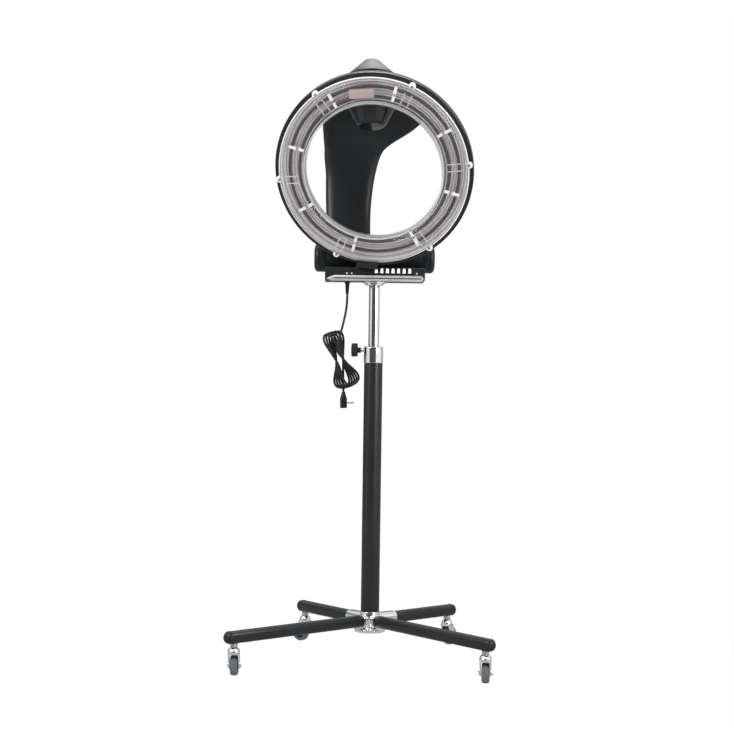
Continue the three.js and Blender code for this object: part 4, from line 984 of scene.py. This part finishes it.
# two heating tubes, their ceramic clips and the terminal block
def makeHeaters(middle):
    h, b = heaters, block
    foot = 1.6 - panBack
    top = 2 * h["radius"] + 2 - heaterDepth
    clips = [slab("holderUnit", roundedRect(long, h["holderWide"], 1.5), foot, top, shift(x, 0, 0), 1.0)
             for x, long in h["clips"]]
    holders = copiesOf("lampHolders", joinMeshes("holderUnit", clips), h["holders"], middle + 1,
                       h["holderTurn"], "ceramic", ringPlace)
    addPiece("lampHolders", holders, "ring", "white_plastic", "ceramic")
    for i, side in enumerate((-0.5, 0.5)):
        radius, z = middle + side * h["spacing"], h["radius"] + fit - heaterDepth
        turns = [2 * pi * k / h["points"] for k in range(h["points"])]
        points = [Vector((radius * cos(a), radius * sin(a), z)) * mm for a in turns]
        tube = tubeMesh("heater", points, h["radius"] * mm, h["sides"], True, ringPlace)
        addPiece("heater_" + str(i + 1), tube, "ring", "quartz", replaced=["heater_tube_" + str(i + 1)])
    spot = ringPlace @ turnAbout("Z", b["turn"]) @ shift(0, b["radius"], 0) @ turnAbout("Z", -b["turn"])
    low, high = b["low"] - heaterDepth, b["high"] - heaterDepth
    parts = [slab("terminalBlock", roundedRect(b["long"], b["wide"], 3), low, high, spot, 1.4)]
    parts += [slab("blockPost", roundedRect(6, 7, 1), foot, low + 0.5, spot @ shift(x, 0, 0), 0.4)
              for x in b["posts"]]
    addPiece("terminalBlock", joinMeshes("terminalBlock", parts), "ring", "white_plastic", "rose")


def makeCover():
    c, front = cover, ring["front"]
    rim, bore, w, deep = c["radius"], c["bore"], c["wall"], front + c["skirt"]
    skin = [(rim, front), (rim, 9), (rim - 12, 0), (bore + 14, 0), (bore, 12), (bore, deep), (bore + w, deep),
            (bore + w, 13), (bore + 15, w), (rim - 13, w), (rim - w, 10), (rim - w, front)]
    r, out, top = c["lugRadius"], rim + c["lugOut"], c["lugHeight"] - front
    # the lugs are real tabs; their near-white finish is a painted highlight of their outlines
    lug = softened([(0, fit - front), (r, fit - front), (r, top - 0.5), (0, top)], 1.2)
    lugs = copiesOf("coverLugs", turned("lugUnit", lug, Matrix(), segments=40), c["lugs"], out, c["lugTurn"],
                    "clear_painted_highlight", ringPlace)
    addPiece("cover", ringLathe("coverSkin", skin, 3.0), "ring", "clear_plastic", replaced=["ring_cover"])
    # near-white beads laid on the cover's outer rim and bore: a painted highlight of the rounded clear edges
    low, high, near, far = front - 6, front - 0.5, rim + 0.2, rim + 0.2 + c["highlightBead"]
    rimHighlightBead = ringLathe("coverRimHighlightBead", [(near, high), (far, high), (far, low), (near, low)], 1.4)
    wall = bore + w
    boreHighlightBead = [(wall + 0.2, 13), (wall + 3, 14), (wall + 3, 17), (wall + 0.2, 17)]
    edges = joinMeshes("coverEdges", [rimHighlightBead, ringLathe("boreHighlightBead", boreHighlightBead, 1.0), lugs])
    addPiece("coverEdges", edges, "ring", "clear_plastic", "clear_painted_highlight")
    s = c["screw"]
    head = softened([(0, top), (s, top), (s, top + 1.4), (s - 1.6, top + 2.3), (0, top + 2.5)], 0.7)
    screws = copiesOf("coverScrews", turned("screwUnit", head, Matrix(), segments=32), c["lugs"], out,
                      c["lugTurn"], "steel", ringPlace)
    addPiece("coverScrews", screws, "ring", "steel")
    # the ribs are real; their near-white finish is a painted highlight along them
    bar = roundedRect(rim - bore - 30, c["ribWide"], 0.8, 2)
    rib = [slab("ribUnit", bar, -4.8, -2.6, shift(0, y, 0), 0.2, 1) for y in c["ribs"]]
    ribs = copiesOf("coverRibs", joinMeshes("ribUnit", rib), c["lugs"], (rim + bore) / 2 + 0.5, c["lugTurn"],
                    "clear_painted_highlight", ringPlace)
    addPiece("coverRibs", ribs, "ring", "clear_plastic", "clear_painted_highlight")


# a black tab that closes on the cover's rim at the ring's foot
def makeSensor():
    s, half, out, near = sensor, sensor["wide"] / 2, -ring["radius"], cover["radius"] + 0.6
    turns = [radians(270 - s["sweep"] + 2 * s["sweep"] * k / s["steps"]) for k in range(s["steps"] + 1)]
    arc = [(near * cos(a), -(near ** 2 - (near * cos(a)) ** 2) ** 0.5) for a in turns]
    tab = [(half, out), (half - 4, arc[-1][1])] + arc[::-1][1:-1] + [(4 - half, arc[0][1]), (-half, out)]
    low = fit - ring["front"]
    place = ringPlace @ turnAbout("Z", s["turn"])
    body = slab("sensor", softened(tab, 1.5, True, 3), low, low + s["deep"], place, 1.6)
    addPiece("sensor", body, "ring", "black_plastic", replaced=["sensor_housing"])


dome = {"top": -30.3, "collar": 40, "radius": 66, "nose": 36, "depth": 84, "wall": 4}


# the drive's dome, cut where the ring passes through it
def makeDome():
    d = dome
    r, tip, wall, top, collar = d["radius"], d["nose"], d["wall"], d["top"], d["collar"]
    nose, room = top - d["depth"], r - wall
    shell = softened([(0, nose), (tip - 6, nose), (tip, nose + 4), (r - 6, top - 34), (r, top - 20),
                      (r - 6, top - 6), (collar, top), (collar - 6, top), (room - 6, top - 9),
                      (room, top - 20), (room - 5, top - 33), (tip - 3, nose + wall + 3),
                      (0, nose + wall)], 4)
    deep = -ring["front"] - cover["skirt"] - fit
    inside, rim, bore, back = cover["bore"] - fit, ring["radius"] + 5, ring["bore"], -ring["back"]
    tool = [(inside, 20), (rim, 20), (rim, back - fit), (bore + ring["round"], back - fit),
            (bore - fit, back + ring["round"]), (bore - fit, deep), (inside, deep)]
    cutter = turned("domeTool", tool, ringPlace, True, ring["segments"])
    body = carved("hubDome", turned("hubDome", shell, orbitPlace, segments=112), [cutter])
    addPiece("hubDome", body, "ring", "gloss_black", replaced=["hub_dome"], smooth=45)


makeHeaters(makeShroud())
makeCover()
makeSensor()
makeDome()
print("ring made")

# CAD nodes that stay as they are get their finish
plain = {"tilt_pin": "steel", "circuit_board": "board", "drive_motor": "steel", "ring_shaft": "steel"}
for node, slot in plain.items():
    kept = frame["nodes"][node]
    kept.data.materials.clear()
    kept.data.materials.append(finishes[slot])


# the floor: white to the camera, grey in reflections, and plain under the shadow
def stageFinish(name, color, strength, mirrored):
    f = Finish(name, color, 0.9)
    seen, shiny = [f.node("ShaderNodeLightPath", output=ray) for ray in ("Is Camera Ray", "Is Glossy Ray")]
    glow = f.node("ShaderNodeEmission", {}, {"Color": (1, 1, 1, 1), "Strength": 1.0})
    grey = f.node("ShaderNodeEmission", {}, {"Color": (1, 1, 1, 1), "Strength": mirrored})
    body = f.node("ShaderNodeMixShader", {}, {0: shiny, 1: Wire(f.tree, f.shader.outputs[0]), 2: grey})
    mixed = f.node("ShaderNodeMixShader", {}, {0: seen * strength, 1: body, 2: glow})
    f.tree.links.new(mixed.socket, f.tree.nodes["Material Output"].inputs["Surface"])
    return f.material


# light and dark cards round the room, by bearing from the camera; only reflections see them
roomCards = [(-180, 0.22), (-97, 0.25), (-90, 0.75), (-52, 0.85), (-46, 0.07), (26, 0.09), (32, 1.0),
             (92, 1.0), (100, 0.6), (180, 0.3)]
stage = {"floorHalf": 2.2, "floorDrop": 0.0005, "floor": 0.9, "floorWhite": 0.99, "floorMirror": 0.5,
         "world": 0.8}
softBoxes = (("keyBox", (-2.2, -2.4, 2.6), (0, 0, 0.9), (1.4, 1.8), 90),
             ("fillBox", (2.4, -2.0, 1.8), (0, 0, 0.9), (1.0, 1.8), 55),
             ("topBox", (0.2, 0.6, 3.2), (0, -0.1, 1.0), (1.6, 1.2), 40))


def makeStage():
    bm = bmesh.new()
    bmesh.ops.create_grid(bm, x_segments=1, y_segments=1, size=stage["floorHalf"])
    drop = Matrix.Translation((0, 0, -stage["floorDrop"]))
    floor = bpy.data.objects.new("floor", meshOf("floor", bm, drop))
    scene.collection.objects.link(floor)
    white = stageFinish("whiteSweep", [stage["floor"]] * 3, stage["floorWhite"], stage["floorMirror"])
    floor.data.materials.append(white)
    world = bpy.data.worlds.new("whiteRoom")
    scene.world = world
    world.use_nodes = True
    room = Shader(world.node_tree)
    way = room.node("ShaderNodeVectorRotate", {"rotation_type": "Z_AXIS"}, {
        "Vector": room.node("ShaderNodeTexCoord", output="Generated"), "Angle": radians(-view["azimuth"])})
    right, away, up = [room.node("ShaderNodeSeparateXYZ", {}, {0: way}, output=k) for k in range(3)]
    bearing = room.node("ShaderNodeMath", {"operation": "ARCTAN2"}, {0: right, 1: 0 - away})
    cards = room.node("ShaderNodeValToRGB", {"stops": [
        ((degrees + 180) / 360, (shade, shade, shade, 1)) for degrees, shade in roomCards]}, {
        0: bearing * (0.5 / pi) + 0.5})
    height = room.node("ShaderNodeMath", {"operation": "ABSOLUTE"}, {0: up})
    lift = room.node("ShaderNodeMapRange", {}, {"Value": height, "From Min": 0.3, "From Max": 0.55})
    grey = [stage["world"]] * 3
    glossy = room.mix(lift, cards, grey)
    seen = room.mix(room.node("ShaderNodeLightPath", output="Is Camera Ray"), grey, (1, 1, 1))
    color = room.mix(room.node("ShaderNodeLightPath", output="Is Glossy Ray"), seen, glossy)
    feed(room.tree, room.tree.nodes["Background"].inputs["Color"], color)
    world.cycles.sampling_method = "NONE"


def softBox(name, spot, aim, size, power):
    data = bpy.data.lights.new(name, "AREA")
    data.shape = "RECTANGLE"
    data.size, data.size_y = size
    data.energy = power
    light = bpy.data.objects.new(name, data)
    scene.collection.objects.link(light)
    light.location = spot
    light.rotation_euler = (Vector(aim) - Vector(spot)).to_track_quat("-Z", "Y").to_euler()


makeStage()
for box in softBoxes:
    softBox(*box)

scene.view_settings.view_transform = "Standard"
